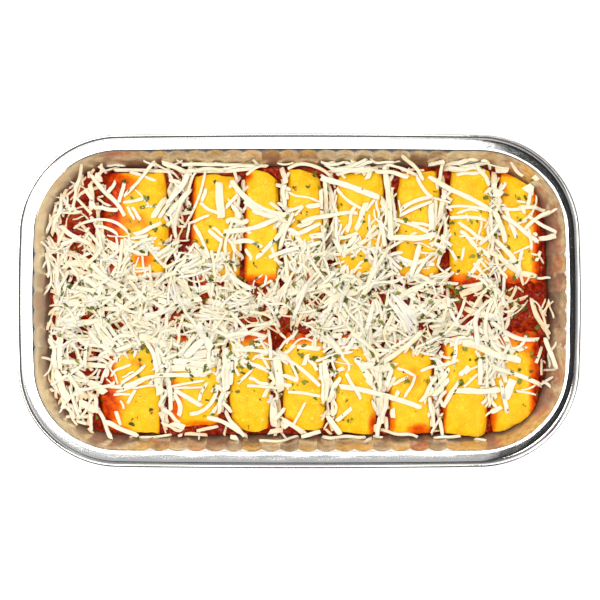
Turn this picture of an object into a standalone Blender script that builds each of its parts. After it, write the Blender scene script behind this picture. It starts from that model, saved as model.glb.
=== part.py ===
"""Cannelloni in an oven-ready foil tray: two rows of eight filled pasta tubes, tomato sauce, grated cheese.

Metres, +Z up.  The origin is on the underside of the tray, at the middle of its outline.
X runs along the tray, Y across it.  Sizes below are in millimetres, and are scaled when a mesh is made.
"""
import bpy
import bmesh
from collections import namedtuple
from math import copysign, cos, exp, hypot, pi, radians, sin, sqrt, tan
from mathutils import Vector, noise

MM = 0.001
OBJECT_NAME = "cannelloni_in_tray"
GAP = 0.35                      # clear space left between neighbouring pieces
FLAT_ENOUGH = radians(0.05)     # faces nearer to one plane than this are merged

# Tray: a rounded rectangle with a rolled bead, a flat flange, a fluted wall and a flat floor.
TRAY_LENGTH = 340.0
TRAY_WIDTH = 202.0
TRAY_HEIGHT = 40.0
TRAY_CORNER = 61.0              # radius of the outer outline at the corners
FOIL = 0.8
BEAD_RADIUS = 1.5
BEAD_ANGLES = (20, 60, 90, 135, 180, 225, 270, 325)
FLANGE_DROP = 1.3               # flat flange, below the top of the bead
FLANGE_INSET = 10.0             # inner edge of the flange
LEDGE_DROP = 3.4                # small flat ledge under the flange, where the wall starts
WALL_INSET = 12.1               # inner face of the wall at the ledge, without its flutes
WALL_DRAFT = radians(17.0)
WALL_FOOT = 4.0                 # height where the wall turns into the floor
FOOT_INSET = 2.6                # how far the turn reaches in
CORNER_STEPS = 7

# Flutes: scallops in the straight stretches of the wall, deepest at the ledge.
FLUTE_PITCH = 11.2
FLUTES_LONG_SIDE = 16
FLUTES_SHORT_SIDE = 5
FLUTE_STEPS = 3
FLUTE_DEPTH = 1.7

# Pasta tubes: rolled sheets, open at both ends, wider than high.
PASTA_SHEET = 1.6
WALL_GAP = 0.7                  # between the tubes' outer ends and the foil
FOOD_GAP = 0.7                  # between the tubes and the sauce round them
TUBE_SIDE = 1.5                 # from the last tube of a row to the column of the grid beside it
TUBE_POINTS = 12
TUBE_SQUARENESS = 2.5           # exponent of the section's outline, 2 is an ellipse
TUBE_FOOT = FOIL + GAP
INNER_END = 2.6                 # distance of the inner ends from the middle line
Station = namedtuple("Station", "along width height")
TUBE_STATIONS = (
    Station(0.00, 0.97, 0.84),
    Station(0.13, 1.00, 0.97),
    Station(0.55, 0.99, 1.00),
    Station(1.00, 0.93, 0.84),
)
Tube = namedtuple("Tube", "x width height end flare skew")
TOP_ROW = (
    Tube(-100.2, 38.4, 24.4, 78.4, 1.02, 0.0),
    Tube(-51.0, 31.2, 25.0, 77.6, 0.98, -1.0),
    Tube(-21.9, 24.4, 24.6, 79.6, 0.95, -3.6),
    Tube(3.2, 24.0, 24.0, 80.2, 0.98, -2.2),
    Tube(37.5, 30.0, 25.2, 78.8, 1.00, 0.8),
    Tube(73.0, 28.0, 24.2, 79.8, 0.98, 1.2),
    Tube(104.8, 27.0, 25.4, 81.4, 0.98, 0.0),
    Tube(135.0, 26.0, 23.6, 79.0, 1.00, -1.4),
)
BOTTOM_ROW = (
    Tube(-103.0, 37.5, 24.2, 81.6, 1.03, 0.6),
    Tube(-64.0, 33.6, 23.2, 77.4, 0.98, -1.0),
    Tube(-30.0, 27.6, 25.0, 81.0, 0.96, 1.4),
    Tube(3.0, 26.6, 24.4, 79.8, 1.00, 2.6),
    Tube(34.0, 26.6, 24.8, 81.6, 1.03, 1.0),
    Tube(68.3, 27.6, 24.0, 82.4, 1.02, -0.8),
    Tube(101.3, 28.2, 25.4, 82.8, 1.00, 0.4),
    Tube(131.8, 30.6, 24.6, 82.4, 1.00, -1.2),
)

# Filling: shows in the open ends, a little inside them.
FILLING_RECESS = 3.0
FILLING_EASE = 0.06             # how much smaller it is than the bore of the tube

# Sauce: fills the tray between the tubes, lies over their inner ends and heaps up at the left.
SAUCE_LEVEL = 17.0
SAUCE_BAND_Y = -5.0
SAUCE_BAND_HALF = 17.0
SAUCE_BAND_RISE = 10.4
SAUCE_HEAP_X = -122.0           # the left heap starts here and reaches the left wall
SAUCE_HEAP_RISE = 6.5
SAUCE_ROUGHNESS = 1.8

# Grated cheese: a loose layer over the sauce and the inner halves of the tubes.
CHEESE_DEPTH = 3.2
CHEESE_EDGE = 0.9               # depth at the rim of the layer
CHEESE_LIFT = 1.0               # from the top of a tube to the underside of the layer
CHEESE_SHOULDER = 0.035         # how far the underside falls towards a tube's side, in tube heights
CHEESE_VALLEY = 20.8            # height of the underside between two tubes
CHEESE_REACH = 54.0             # how far the layer reaches over a tube, from the middle line
CHEESE_FINGER = 17.0            # how much further it reaches between two tubes
CHEESE_ROUGHNESS = 2.6

# The sauce and the cheese share one grid, whose columns follow the tubes.
HEAP_COLUMNS = (0.15, 0.6)       # columns between the left wall and the first tube
CHEESE_ROWS = 4                 # rows from the middle line to the rim of the cheese
WALL_ROWS = 2                   # rows from there to the wall


# ---------------------------------------------------------------- helpers

def clear_scene():
    for item in list(bpy.data.objects):
        bpy.data.objects.remove(item, do_unlink=True)


def new_collection(name):
    collection = bpy.data.collections.new(name)
    bpy.context.scene.collection.children.link(collection)
    return collection


def principled(name, colour, roughness, metallic=0.0):
    material = bpy.data.materials.new(name)
    material.use_nodes = True
    shader = material.node_tree.nodes["Principled BSDF"]
    shader.inputs["Base Color"].default_value = (*colour, 1.0)
    shader.inputs["Roughness"].default_value = roughness
    shader.inputs["Metallic"].default_value = metallic
    return material


def add_object(name, bm, material, collection, crease=40.0):
    """Scale a millimetre bmesh to metres and link it as one object."""
    bmesh.ops.recalc_face_normals(bm, faces=bm.faces)
    bmesh.ops.scale(bm, vec=(MM, MM, MM), verts=bm.verts)
    mesh = bpy.data.meshes.new(name)
    bm.to_mesh(mesh)
    bm.free()
    mesh.shade_smooth()
    mesh.set_sharp_from_angle(angle=radians(crease))
    if material:
        mesh.materials.append(material)
    item = bpy.data.objects.new(name, mesh)
    collection.objects.link(item)
    return item


def join_rings(bm, ring_a, ring_b):
    count = len(ring_a)
    for i in range(count):
        j = (i + 1) % count
        bm.faces.new((ring_a[i], ring_a[j], ring_b[j], ring_b[i]))


def loft(rings, closed=False):
    """Skin rings of equal count: closed joins the last ring to the first, otherwise both ends are capped."""
    bm = bmesh.new()
    rows = [[bm.verts.new(point) for point in ring] for ring in rings]
    for ring_a, ring_b in zip(rows, rows[1:]):
        join_rings(bm, ring_a, ring_b)
    if closed:
        join_rings(bm, rows[-1], rows[0])
    else:
        bm.faces.new(rows[0])
        bm.faces.new(rows[-1])
    return bm


def smooth_step(value):
    value = min(max(value, 0.0), 1.0)
    return value * value * (3.0 - 2.0 * value)


# ---------------------------------------------------------------- tray

def side_stops(half, flutes):
    """Positions along one straight side, each with its share of the flute's depth."""
    reach = flutes * FLUTE_PITCH / 2.0
    smooth = reach + FLUTE_PITCH / 2.0
    stops = [(-half, 1.0), (-smooth, 1.0)]
    for step in range(flutes * FLUTE_STEPS + 1):
        share = sin(pi * (step % FLUTE_STEPS) / FLUTE_STEPS)
        stops.append((-reach + step * FLUTE_PITCH / FLUTE_STEPS, share))
    stops += [(smooth, 1.0), (half, 1.0)]
    return stops


def tray_outline(inset, z, flute=0.0):
    """Rounded rectangle at an inset from the outer outline, anticlockwise, pushed out by flute.

    The corners and the ends of the sides are pushed out evenly, and the middles of the sides in scallops.
    """
    core_x = TRAY_LENGTH / 2 - TRAY_CORNER
    core_y = TRAY_WIDTH / 2 - TRAY_CORNER
    reach = TRAY_CORNER - inset
    sides = (
        (0, core_x, core_y, side_stops(core_y, FLUTES_SHORT_SIDE)),
        (1, core_y, core_x, side_stops(core_x, FLUTES_LONG_SIDE)),
        (2, core_x, core_y, side_stops(core_y, FLUTES_SHORT_SIDE)),
        (3, core_y, core_x, side_stops(core_x, FLUTES_LONG_SIDE)),
    )
    points = []
    for quarter, core_out, core_along, stops in sides:
        turn = quarter * pi / 2
        for along, share in stops:
            points.append(turned(core_out + reach + flute * share, along, turn, z))
        radius = reach + flute
        for step in range(1, CORNER_STEPS):
            angle = pi / 2 * step / CORNER_STEPS
            points.append(turned(core_out + radius * cos(angle), core_along + radius * sin(angle), turn, z))
    return points


def turned(out, along, angle, z):
    return Vector((out * cos(angle) - along * sin(angle), out * sin(angle) + along * cos(angle), z))


def wall_inset(z):
    """Inset of the inner face of the wall and its foot, without the flutes, at height z."""
    wall_top = TRAY_HEIGHT - LEDGE_DROP
    below_wall = max(0.0, WALL_FOOT - z) / (WALL_FOOT - FOIL)
    return WALL_INSET + (wall_top - max(z, WALL_FOOT)) * tan(WALL_DRAFT) + FOOT_INSET * below_wall


def press_inside(point, clearance):
    """Move a point outside the wall to the clearance from it, as the foil presses soft food."""
    core = (TRAY_LENGTH / 2 - TRAY_CORNER, TRAY_WIDTH / 2 - TRAY_CORNER)
    reach = TRAY_CORNER - wall_inset(point.z) - clearance
    out_x = max(abs(point.x) - core[0], 0.0)
    out_y = max(abs(point.y) - core[1], 0.0)
    excess = hypot(out_x, out_y) / reach
    if excess > 1.0:
        point.x -= copysign(out_x * (1.0 - 1.0 / excess), point.x)
        point.y -= copysign(out_y * (1.0 - 1.0 / excess), point.y)
    return point


def tray_profile():
    """Section of the tray as (inset, height, flute), from the floor's edge over the bead and back down."""
    flange = TRAY_HEIGHT - FLANGE_DROP
    ledge = TRAY_HEIGHT - LEDGE_DROP
    foot = wall_inset(WALL_FOOT)
    profile = [
        (foot + FOOT_INSET, FOIL, 0.0),
        (foot, WALL_FOOT, 0.0),
        (WALL_INSET, ledge, FLUTE_DEPTH),
        (FLANGE_INSET, ledge, 0.0),
        (FLANGE_INSET, flange, 0.0),
    ]
    for degrees in BEAD_ANGLES:
        across = BEAD_RADIUS * (1.0 + cos(radians(degrees)))
        up = TRAY_HEIGHT - BEAD_RADIUS * (1.0 - sin(radians(degrees)))
        profile.append((across, up, 0.0))
    profile += [
        (FLANGE_INSET - FOIL, flange - FOIL, 0.0),
        (FLANGE_INSET - FOIL, ledge - FOIL, 0.0),
        (WALL_INSET - FOIL, ledge - FOIL, FLUTE_DEPTH),
        (foot - FOIL, WALL_FOOT - FOIL / 4, 0.0),
        (foot + FOOT_INSET - FOIL / 2, 0.0, 0.0),
    ]
    return profile


def build_tray(collection):
    rings = [tray_outline(inset, z, flute) for inset, z, flute in tray_profile()]
    bm = loft(rings)
    bmesh.ops.dissolve_limit(bm, angle_limit=FLAT_ENOUGH, verts=bm.verts, edges=bm.edges)
    material = principled("foil", (0.80, 0.80, 0.79), 0.28, metallic=1.0)
    return add_object("tray", bm, material, collection, crease=30.0)


# ---------------------------------------------------------------- pasta tubes and filling

def section_outline(width, height, shrink):
    """Half-flattened round section: (across, up) pairs, up measured from the section's foot."""
    points = []
    power = 2.0 / TUBE_SQUARENESS
    for i in range(TUBE_POINTS):
        angle = 2 * pi * i / TUBE_POINTS
        across = abs(cos(angle)) ** power * (1 if cos(angle) >= 0 else -1)
        up = abs(sin(angle)) ** power * (1 if sin(angle) >= 0 else -1)
        points.append((across * (width / 2 - shrink), height / 2 + up * (height / 2 - shrink)))
    return points


def tube_ring(tube, side, station, shrink=0.0, pressed=True):
    """One section of a tube: side is +1 in the top row, -1 in the bottom row."""
    width = tube.width * station.width * (1.0 + (tube.flare - 1.0) * (1.0 - station.along))
    height = tube.height * station.height
    length = tube.end - INNER_END
    outer_y = tube.end - length * station.along
    lean = tan(WALL_DRAFT) * (1.0 - station.along)
    ring = []
    for across, up in section_outline(width, height, shrink):
        skew = tube.skew * (1.0 - station.along) * across / (width / 2)
        y = side * (outer_y - lean * (height - up)) + skew * side
        point = Vector((tube.x + across, y, TUBE_FOOT + up))
        ring.append(press_inside(point, WALL_GAP + shrink) if pressed else point)
    return ring


def build_tube(name, tube, side, material, collection):
    outer = [tube_ring(tube, side, station) for station in TUBE_STATIONS]
    bore = [tube_ring(tube, side, station, PASTA_SHEET) for station in (TUBE_STATIONS[-1], TUBE_STATIONS[0])]
    return add_object(name, loft(outer + bore, closed=True), material, collection, crease=60.0)


def drawn_in(ring, share):
    """A ring with each point moved towards its middle."""
    middle = sum(ring, Vector()) / len(ring)
    return [point.lerp(middle, share) for point in ring]


def build_filling(name, tube, side, material, collection):
    outer = drawn_in(tube_ring(tube, side, TUBE_STATIONS[0], PASTA_SHEET), FILLING_EASE)
    inner = drawn_in(tube_ring(tube, side, TUBE_STATIONS[-1], PASTA_SHEET), FILLING_EASE)
    share = FILLING_RECESS / (tube.end - INNER_END)
    ends = [[a.lerp(b, place) for a, b in zip(outer, inner)] for place in (share, 1.0 - share)]
    return add_object(name, loft(ends), material, collection, crease=60.0)


def build_tube_tool(name, tube, side, collection):
    """The tube's outer form grown by FOOD_GAP all round, closed at its ends."""
    grown = [tube_ring(tube, side, station, -FOOD_GAP, pressed=False) for station in TUBE_STATIONS]
    for ring, push in ((grown[0], side * FOOD_GAP), (grown[-1], -side * FOOD_GAP)):
        for point in ring:
            point.y += push
    return add_object(name, loft(grown), None, collection)


def build_row(prefix, tubes, side, parts, tools, pasta, filling):
    for number, tube in enumerate(tubes, start=1):
        build_tube(f"pasta_{prefix}_{number}", tube, side, pasta, parts)
        build_filling(f"filling_{prefix}_{number}", tube, side, filling, parts)
        build_tube_tool(f"tool_{prefix}_{number}", tube, side, tools)


# ---------------------------------------------------------------- sauce and cheese

def wave(x, y, size, seed):
    return noise.noise(Vector((x / size, y / size, seed)))


def wall_reach(z):
    """Radius of the corner of the food's outline at height z."""
    return TRAY_CORNER - wall_inset(z) - WALL_GAP


def wall_y(x, z):
    """How far the food may reach from the middle line at a place along the tray."""
    out = min(max(abs(x) - (TRAY_LENGTH / 2 - TRAY_CORNER), 0.0), wall_reach(z))
    return TRAY_WIDTH / 2 - TRAY_CORNER + sqrt(wall_reach(z) ** 2 - out ** 2)


def tube_columns(row):
    """Grid columns along one row: (x, nearest tube or None, share of the way from middle to side)."""
    first_gap = row[0].x - row[0].width / 2 - TUBE_SIDE
    wall = -(TRAY_LENGTH / 2 - TRAY_CORNER + wall_reach(SAUCE_LEVEL))
    columns = [(wall, None, 1.0)]
    columns += [(wall + (first_gap - wall) * share, None, 1.0) for share in HEAP_COLUMNS]
    columns.append((first_gap, row[0], 1.0))
    for tube, after in zip(row, row[1:] + (None,)):
        right = tube.x + tube.width / 2
        gap = (right + after.x - after.width / 2) / 2 if after else right + TUBE_SIDE
        columns += [(tube.x - tube.width / 4, tube, 0.5), (tube.x, tube, 0.0)]
        columns += [(tube.x + tube.width / 4, tube, 0.5), (gap, tube, 1.0)]
    columns.append((-wall, None, 1.0))
    return columns


def sauce_top(x, y):
    band = exp(-((y - SAUCE_BAND_Y) / SAUCE_BAND_HALF) ** 4)
    heap = smooth_step((SAUCE_HEAP_X + 6.0 - x) / 14.0)
    rise = max(band * SAUCE_BAND_RISE, heap * SAUCE_HEAP_RISE)
    return SAUCE_LEVEL + rise + SAUCE_ROUGHNESS * wave(x, y, 17.0, 3.7)


def cheese_floor(x, y, tube, share):
    """Underside of the cheese: over the sauce, or over the tube's round top where that is higher."""
    bed = sauce_top(x, y) + GAP
    if tube and abs(y) > INNER_END:
        crown = TUBE_FOOT + tube.height + CHEESE_LIFT
        over = crown if share == 0.0 else crown - CHEESE_SHOULDER * tube.height
        bed = max(bed, CHEESE_VALLEY if share == 1.0 else over)
    return bed


def cheese_top(x, y, tube, share, rim):
    depth = CHEESE_EDGE + CHEESE_DEPTH * (1.0 - rim ** 3)
    lumps = CHEESE_ROUGHNESS * abs(wave(x, y, 12.0, 5.3)) * (1.0 - rim)
    return cheese_floor(x, y, tube, share) + depth + lumps


class FoodGrid:
    """Places of the shared grid: column i along the tray, row j from the wall below to the wall above."""

    def __init__(self):
        self.rows = {1: tube_columns(TOP_ROW), -1: tube_columns(BOTTOM_ROW)}
        self.count = len(self.rows[1])

    def column(self, i, j):
        if j == 0:
            above, below = self.rows[1][i], self.rows[-1][i]
            return (above[0] + below[0]) / 2, None, above[2]
        return self.rows[1 if j > 0 else -1][i]

    def rim_y(self, i, j):
        """Where the rim of the cheese crosses a column."""
        x, tube, share = self.column(i, j)
        side = copysign(1.0, j)
        reach = CHEESE_REACH + CHEESE_FINGER * share ** 2 + 9.0 * wave(x, side * CHEESE_REACH, 11.0, 8.1)
        return min(reach, wall_y(x, SAUCE_LEVEL) - WALL_GAP * 3)

    def place(self, i, j, z):
        """The grid's point at height z, kept inside the wall."""
        x, _, _ = self.column(i, j)
        limit = TRAY_LENGTH / 2 - TRAY_CORNER + wall_reach(z)
        x = min(max(x, -limit), limit)
        if j == 0:
            return x, 0.0
        rim = self.rim_y(i, j)
        wall = wall_y(x, z)
        step = abs(j)
        if step <= CHEESE_ROWS:
            y = min(rim * step / CHEESE_ROWS, wall)
        else:
            y = min(rim, wall) + (wall - min(rim, wall)) * (step - CHEESE_ROWS) / WALL_ROWS
        return x, copysign(y, j)

    def block(self, reach, columns, lower, upper):
        """A closed block over rows -reach to reach, between two functions of (x, y, tube, share, rim)."""
        bm = bmesh.new()
        layers = []
        for height in (lower, upper):
            layer = {}
            for i in columns:
                for j in range(-reach, reach + 1):
                    _, tube, share = self.column(i, j)
                    x, y = self.place(i, j, SAUCE_LEVEL)
                    z = height(x, y, tube, share, abs(j) / reach)
                    layer[i, j] = bm.verts.new((*self.place(i, j, z), z))
            layers.append(layer)
        bottom, top = layers
        for i in columns[:-1]:
            for j in range(-reach, reach):
                square = ((i, j), (i + 1, j), (i + 1, j + 1), (i, j + 1))
                for layer in layers:
                    a, b, c, d = (layer[place] for place in square)
                    bm.faces.new((a, b, c))
                    bm.faces.new((a, c, d))
        rim = [(i, -reach) for i in columns]
        rim += [(columns[-1], j) for j in range(1 - reach, reach + 1)]
        rim += [(i, reach) for i in reversed(columns[:-1])]
        rim += [(columns[0], j) for j in range(reach - 1, -reach, -1)]
        for start, end in zip(rim, rim[1:] + rim[:1]):
            bm.faces.new((bottom[start], bottom[end], top[end], top[start]))
        return bm


def islands(bm):
    """Lists of faces that hang together."""
    left = set(bm.faces)
    groups = []
    while left:
        front = [left.pop()]
        group = list(front)
        while front:
            face = front.pop()
            for edge in face.edges:
                for other in edge.link_faces:
                    if other in left:
                        left.remove(other)
                        group.append(other)
                        front.append(other)
        groups.append(group)
    return groups


def keep_main_piece(item):
    """Apply the cuts and drop the crumbs that they leave beside the main piece."""
    depsgraph = bpy.context.evaluated_depsgraph_get()
    mesh = bpy.data.meshes.new_from_object(item.evaluated_get(depsgraph))
    bm = bmesh.new()
    bm.from_mesh(mesh)
    groups = sorted(islands(bm), key=len)
    crumbs = [face for group in groups[:-1] for face in group]
    bmesh.ops.delete(bm, geom=crumbs, context="FACES")
    bm.to_mesh(mesh)
    bm.free()
    item.modifiers.clear()
    item.data = mesh


def build_sauce(grid, tube_tools, collection):
    reach = CHEESE_ROWS + WALL_ROWS
    bm = grid.block(
        reach,
        range(grid.count),
        lambda x, y, tube, share, rim: FOIL + GAP,
        lambda x, y, tube, share, rim: sauce_top(x, y),
    )
    bmesh.ops.recalc_face_normals(bm, faces=bm.faces)
    bmesh.ops.dissolve_limit(bm, angle_limit=FLAT_ENOUGH, verts=bm.verts, edges=bm.edges)
    material = principled("tomato_sauce", (0.42, 0.05, 0.015), 0.30)
    item = add_object("sauce", bm, material, collection)
    cut = item.modifiers.new("tubes", "BOOLEAN")
    cut.operation = "DIFFERENCE"
    cut.solver = "EXACT"
    cut.operand_type = "COLLECTION"
    cut.collection = tube_tools
    keep_main_piece(item)
    return item


def build_cheese(grid, collection):
    bm = grid.block(
        CHEESE_ROWS,
        range(1, grid.count - 1),
        lambda x, y, tube, share, rim: cheese_floor(x, y, tube, share),
        cheese_top,
    )
    material = principled("grated_cheese", (0.93, 0.86, 0.68), 0.55)
    return add_object("cheese", bm, material, collection)


# ---------------------------------------------------------------- assembly

def main():
    clear_scene()
    parts = new_collection(OBJECT_NAME)
    tools = new_collection("tube_cutters")

    build_tray(parts)
    pasta = principled("egg_pasta", (0.90, 0.56, 0.06), 0.38)
    filling = principled("meat_filling", (0.36, 0.10, 0.03), 0.55)
    build_row("top", TOP_ROW, 1, parts, tools, pasta, filling)
    build_row("bottom", BOTTOM_ROW, -1, parts, tools, pasta, filling)
    grid = FoodGrid()
    build_sauce(grid, tools, parts)
    build_cheese(grid, parts)
    for tool in tools.objects:
        tool.hide_render = True
        tool.display_type = "WIRE"


main()
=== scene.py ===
"""Looks of a foil tray of cannelloni: fine tray, rolled pasta, filling, sauce, grated cheese and parsley.

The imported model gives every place.  Shapes are worked out in millimetres and scaled when a mesh is made.
"""
from collections import namedtuple
from math import atan2, hypot, pi, radians, sqrt, tan

import bpy
import numpy as np
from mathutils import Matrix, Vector


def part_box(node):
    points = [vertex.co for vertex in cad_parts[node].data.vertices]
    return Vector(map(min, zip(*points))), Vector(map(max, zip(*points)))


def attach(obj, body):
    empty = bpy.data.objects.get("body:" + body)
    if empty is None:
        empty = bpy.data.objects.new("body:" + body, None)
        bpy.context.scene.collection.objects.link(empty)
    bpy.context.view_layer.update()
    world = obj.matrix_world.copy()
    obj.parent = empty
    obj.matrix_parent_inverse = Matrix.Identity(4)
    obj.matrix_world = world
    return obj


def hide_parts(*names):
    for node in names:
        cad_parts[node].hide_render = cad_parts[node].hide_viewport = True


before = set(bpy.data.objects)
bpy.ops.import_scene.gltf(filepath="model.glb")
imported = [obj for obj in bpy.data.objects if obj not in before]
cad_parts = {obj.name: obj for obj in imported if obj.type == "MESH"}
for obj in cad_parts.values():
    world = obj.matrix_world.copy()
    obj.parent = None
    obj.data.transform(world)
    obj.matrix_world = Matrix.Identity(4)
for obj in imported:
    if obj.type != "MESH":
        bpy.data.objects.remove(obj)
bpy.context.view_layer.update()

MM = 0.001

# Tray, as in the solid it replaces.
TRAY_CORNER = 61.0
FOIL = 0.4
FLANGE_DROP = 1.3
SHOULDER_INSET = 9.6            # where the flange turns down towards the wall
SHOULDER_SLOPE = 0.577
LEDGE_DROP = 3.4
WALL_INSET = 12.1
WALL_DRAFT = radians(17.0)
WALL_FOOT = 4.0
FOOT_INSET = 2.6
FLUTE_PITCH = 11.2
FLUTES_LONG_SIDE = 16
FLUTES_SHORT_SIDE = 5
FLUTE_DEPTH = 1.7
# The rolled bead's profile: distance in from the outline, height under the rim and how much painted shade darkens the
# foil in its creases, which are also rougher.
BEAD = (
    (2.56, -1.52, 1.0), (2.44, -1.08, 0.9), (2.10, -0.76, 0.6), (1.76, -0.46, 0.0), (1.42, -0.15, 0.0),
    (1.12, -0.07, 0.0), (0.68, -0.24, 0.5), (0.30, -0.52, 1.0), (0.07, -0.88, 1.0), (0.0, -1.35, 1.0),
    (0.18, -1.80, 1.0), (0.65, -2.20, 1.0), (1.30, -2.35, 1.0), (1.95, -2.25, 1.0),
)
NARROW_END = 1.9                # how much narrower the flange is at the tray's right end
OUTSIDE_DULL_AND_SHADE = 0.75                # how much rougher the foil's outside is, and how much painted shade darkens it
FLUTE_STEPS = 9
SIDE_BOW = 0.8                  # how much further out the middle of a side lies than its ends
PLEAT_PITCH = 1.5
PLEAT_STEPS = 4

# Pasta
PASTA_SHEET = 1.35
SHEET_GAP = 0.15
TUBE_SQUARENESS = 3.8
AROUND = 58
ALONG = 34

# Sauce
SAUCE_LEVEL = 17.0
SAUCE_BAND_Y = -5.0
SAUCE_BAND_HALF = 17.0
SAUCE_BAND_RISE = 10.4
SAUCE_HEAP_X = -122.0
SAUCE_HEAP_RISE = 6.5
SAUCE_FLOOR = 1.2

# Camera: straight down, far enough back that the walls show all round.
CAMERA_HEIGHT = 1240.0
CAMERA_X = 0.8
CAMERA_Y = 0.4
FRAME_SPAN = 360.9              # how much of the rim's plane the view takes in
SENSOR = 36.0


# ---------------------------------------------------------------- helpers

def box_mm(node):
    low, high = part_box(node)
    return np.array(low) / MM, np.array(high) / MM


TRAY_LOW, TRAY_HIGH = box_mm("tray")
HALF_LENGTH = TRAY_HIGH[0]
HALF_WIDTH = TRAY_HIGH[1]
RIM = TRAY_HIGH[2]
CORE_X = HALF_LENGTH - TRAY_CORNER
CORE_Y = HALF_WIDTH - TRAY_CORNER


class Wobble:
    """Smooth noise of about -1 to 1 from waves in random directions; size is their length."""

    def __init__(self, size, seed, dimensions=2, waves=8):
        rng = np.random.default_rng(seed)
        ways = rng.normal(size=(waves, dimensions))
        ways /= np.linalg.norm(ways, axis=1)[:, None]
        self.ways = ways * (2 * pi / size) * rng.uniform(0.65, 1.5, (waves, 1))
        self.phases = rng.uniform(0, 2 * pi, waves)

    def __call__(self, *places):
        total = 0.0
        for way, phase in zip(self.ways, self.phases):
            total = total + np.sin(sum(place * part for place, part in zip(places, way)) + phase)
        return total / sqrt(2 * len(self.phases))


def smooth_step(value):
    value = np.clip(value, 0.0, 1.0)
    return value * value * (3.0 - 2.0 * value)


def new_piece(name, points, polygons, materials, nodes, values=None, sharp=50.0):
    """Make a mesh piece from points in millimetres and arrays of polygons, each array of one side count."""
    mesh = bpy.data.meshes.new(name)
    corners = np.concatenate([group.ravel() for group in polygons]).astype(np.int32)
    sides = np.concatenate([np.full(len(group), group.shape[1]) for group in polygons])
    starts = np.concatenate(([0], np.cumsum(sides)[:-1])).astype(np.int32)
    mesh.vertices.add(len(points))
    mesh.vertices.foreach_set("co", (np.asarray(points) * MM).astype(np.float32).ravel())
    mesh.loops.add(len(corners))
    mesh.loops.foreach_set("vertex_index", corners)
    mesh.polygons.add(len(sides))
    mesh.polygons.foreach_set("loop_start", starts)
    mesh.update(calc_edges=True)
    mesh.validate()
    for key, value in (values or {}).items():
        attribute = mesh.attributes.new(key, "FLOAT", "POINT")
        attribute.data.foreach_set("value", np.asarray(value, dtype=np.float32))
    mesh.shade_smooth()
    mesh.set_sharp_from_angle(angle=radians(sharp))
    for material in materials:
        mesh.materials.append(material)
    piece = bpy.data.objects.new(name, mesh)
    bpy.context.scene.collection.objects.link(piece)
    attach(piece, "root")
    if nodes:
        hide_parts(*nodes)
    return piece


def grid_quads(rows, columns, wrap_columns=True):
    """Quads over a rows by columns array of points, wound so that rows x columns points out."""
    index = np.arange(rows * columns).reshape(rows, columns)
    if wrap_columns:
        index = np.hstack([index, index[:, :1]])
    a, b = index[:-1, :-1], index[:-1, 1:]
    c, d = index[1:, 1:], index[1:, :-1]
    return np.stack([a, b, c, d], axis=-1).reshape(-1, 4)


# ---------------------------------------------------------------- materials

class Nodes:
    """A short way to build a material's node tree."""

    def __init__(self, name):
        self.material = bpy.data.materials.new(name)
        self.material.use_nodes = True
        self.tree = self.material.node_tree
        self.shader = self.tree.nodes["Principled BSDF"]
        self.place = self.add("ShaderNodeTexCoord").outputs["Object"]

    def add(self, kind, **settings):
        node = self.tree.nodes.new(kind)
        for key, value in settings.items():
            setattr(node, key, value)
        return node

    def link(self, output, socket):
        self.tree.links.new(output, socket)

    def put(self, socket, value):
        if isinstance(value, bpy.types.NodeSocket):
            self.link(value, socket)
        else:
            socket.default_value = value

    def noise(self, size, detail=3.0, roughness=0.55, stretch=None, distortion=0.0):
        """Noise whose grains are about size millimetres across."""
        node = self.add("ShaderNodeTexNoise")
        place = self.place
        if stretch:
            mapping = self.add("ShaderNodeMapping")
            mapping.inputs["Scale"].default_value = stretch
            self.link(place, mapping.inputs["Vector"])
            place = mapping.outputs["Vector"]
        self.link(place, node.inputs["Vector"])
        node.inputs["Scale"].default_value = 1.0 / (size * MM)
        node.inputs["Detail"].default_value = detail
        node.inputs["Roughness"].default_value = roughness
        node.inputs["Distortion"].default_value = distortion
        return node.outputs["Fac"]

    def ramp(self, value, stops):
        node = self.add("ShaderNodeValToRGB")
        self.link(value, node.inputs["Fac"])
        ramp = node.color_ramp
        while len(ramp.elements) < len(stops):
            ramp.elements.new(0.5)
        for element, (place, colour) in zip(ramp.elements, stops):
            element.position = place
            element.color = (*colour, 1.0) if len(colour) == 3 else colour
        return node.outputs["Color"]

    def range(self, value, low, high, to_low, to_high):
        node = self.add("ShaderNodeMapRange")
        self.link(value, node.inputs["Value"])
        for key, number in (("From Min", low), ("From Max", high), ("To Min", to_low), ("To Max", to_high)):
            node.inputs[key].default_value = number
        return node.outputs["Result"]

    def mix(self, share, first, second, blend="MIX"):
        node = self.add("ShaderNodeMix", data_type="RGBA", blend_type=blend)
        self.put(node.inputs["Factor"], share)
        self.put(node.inputs["A"], first if isinstance(first, bpy.types.NodeSocket) else (*first, 1.0))
        self.put(node.inputs["B"], second if isinstance(second, bpy.types.NodeSocket) else (*second, 1.0))
        return node.outputs["Result"]

    def math(self, operation, first, second=0.0, clamp=False):
        node = self.add("ShaderNodeMath", operation=operation, use_clamp=clamp)
        self.put(node.inputs[0], first)
        self.put(node.inputs[1], second)
        return node.outputs["Value"]

    def attribute(self, name):
        return self.add("ShaderNodeAttribute", attribute_name=name).outputs["Fac"]

    def bump(self, height, depth, strength=1.0):
        node = self.add("ShaderNodeBump")
        self.link(height, node.inputs["Height"])
        node.inputs["Distance"].default_value = depth * MM
        node.inputs["Strength"].default_value = strength
        self.link(node.outputs["Normal"], self.shader.inputs["Normal"])

    def set(self, **values):
        for key, value in values.items():
            self.put(self.shader.inputs[key.replace("_", " ")], value)


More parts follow.
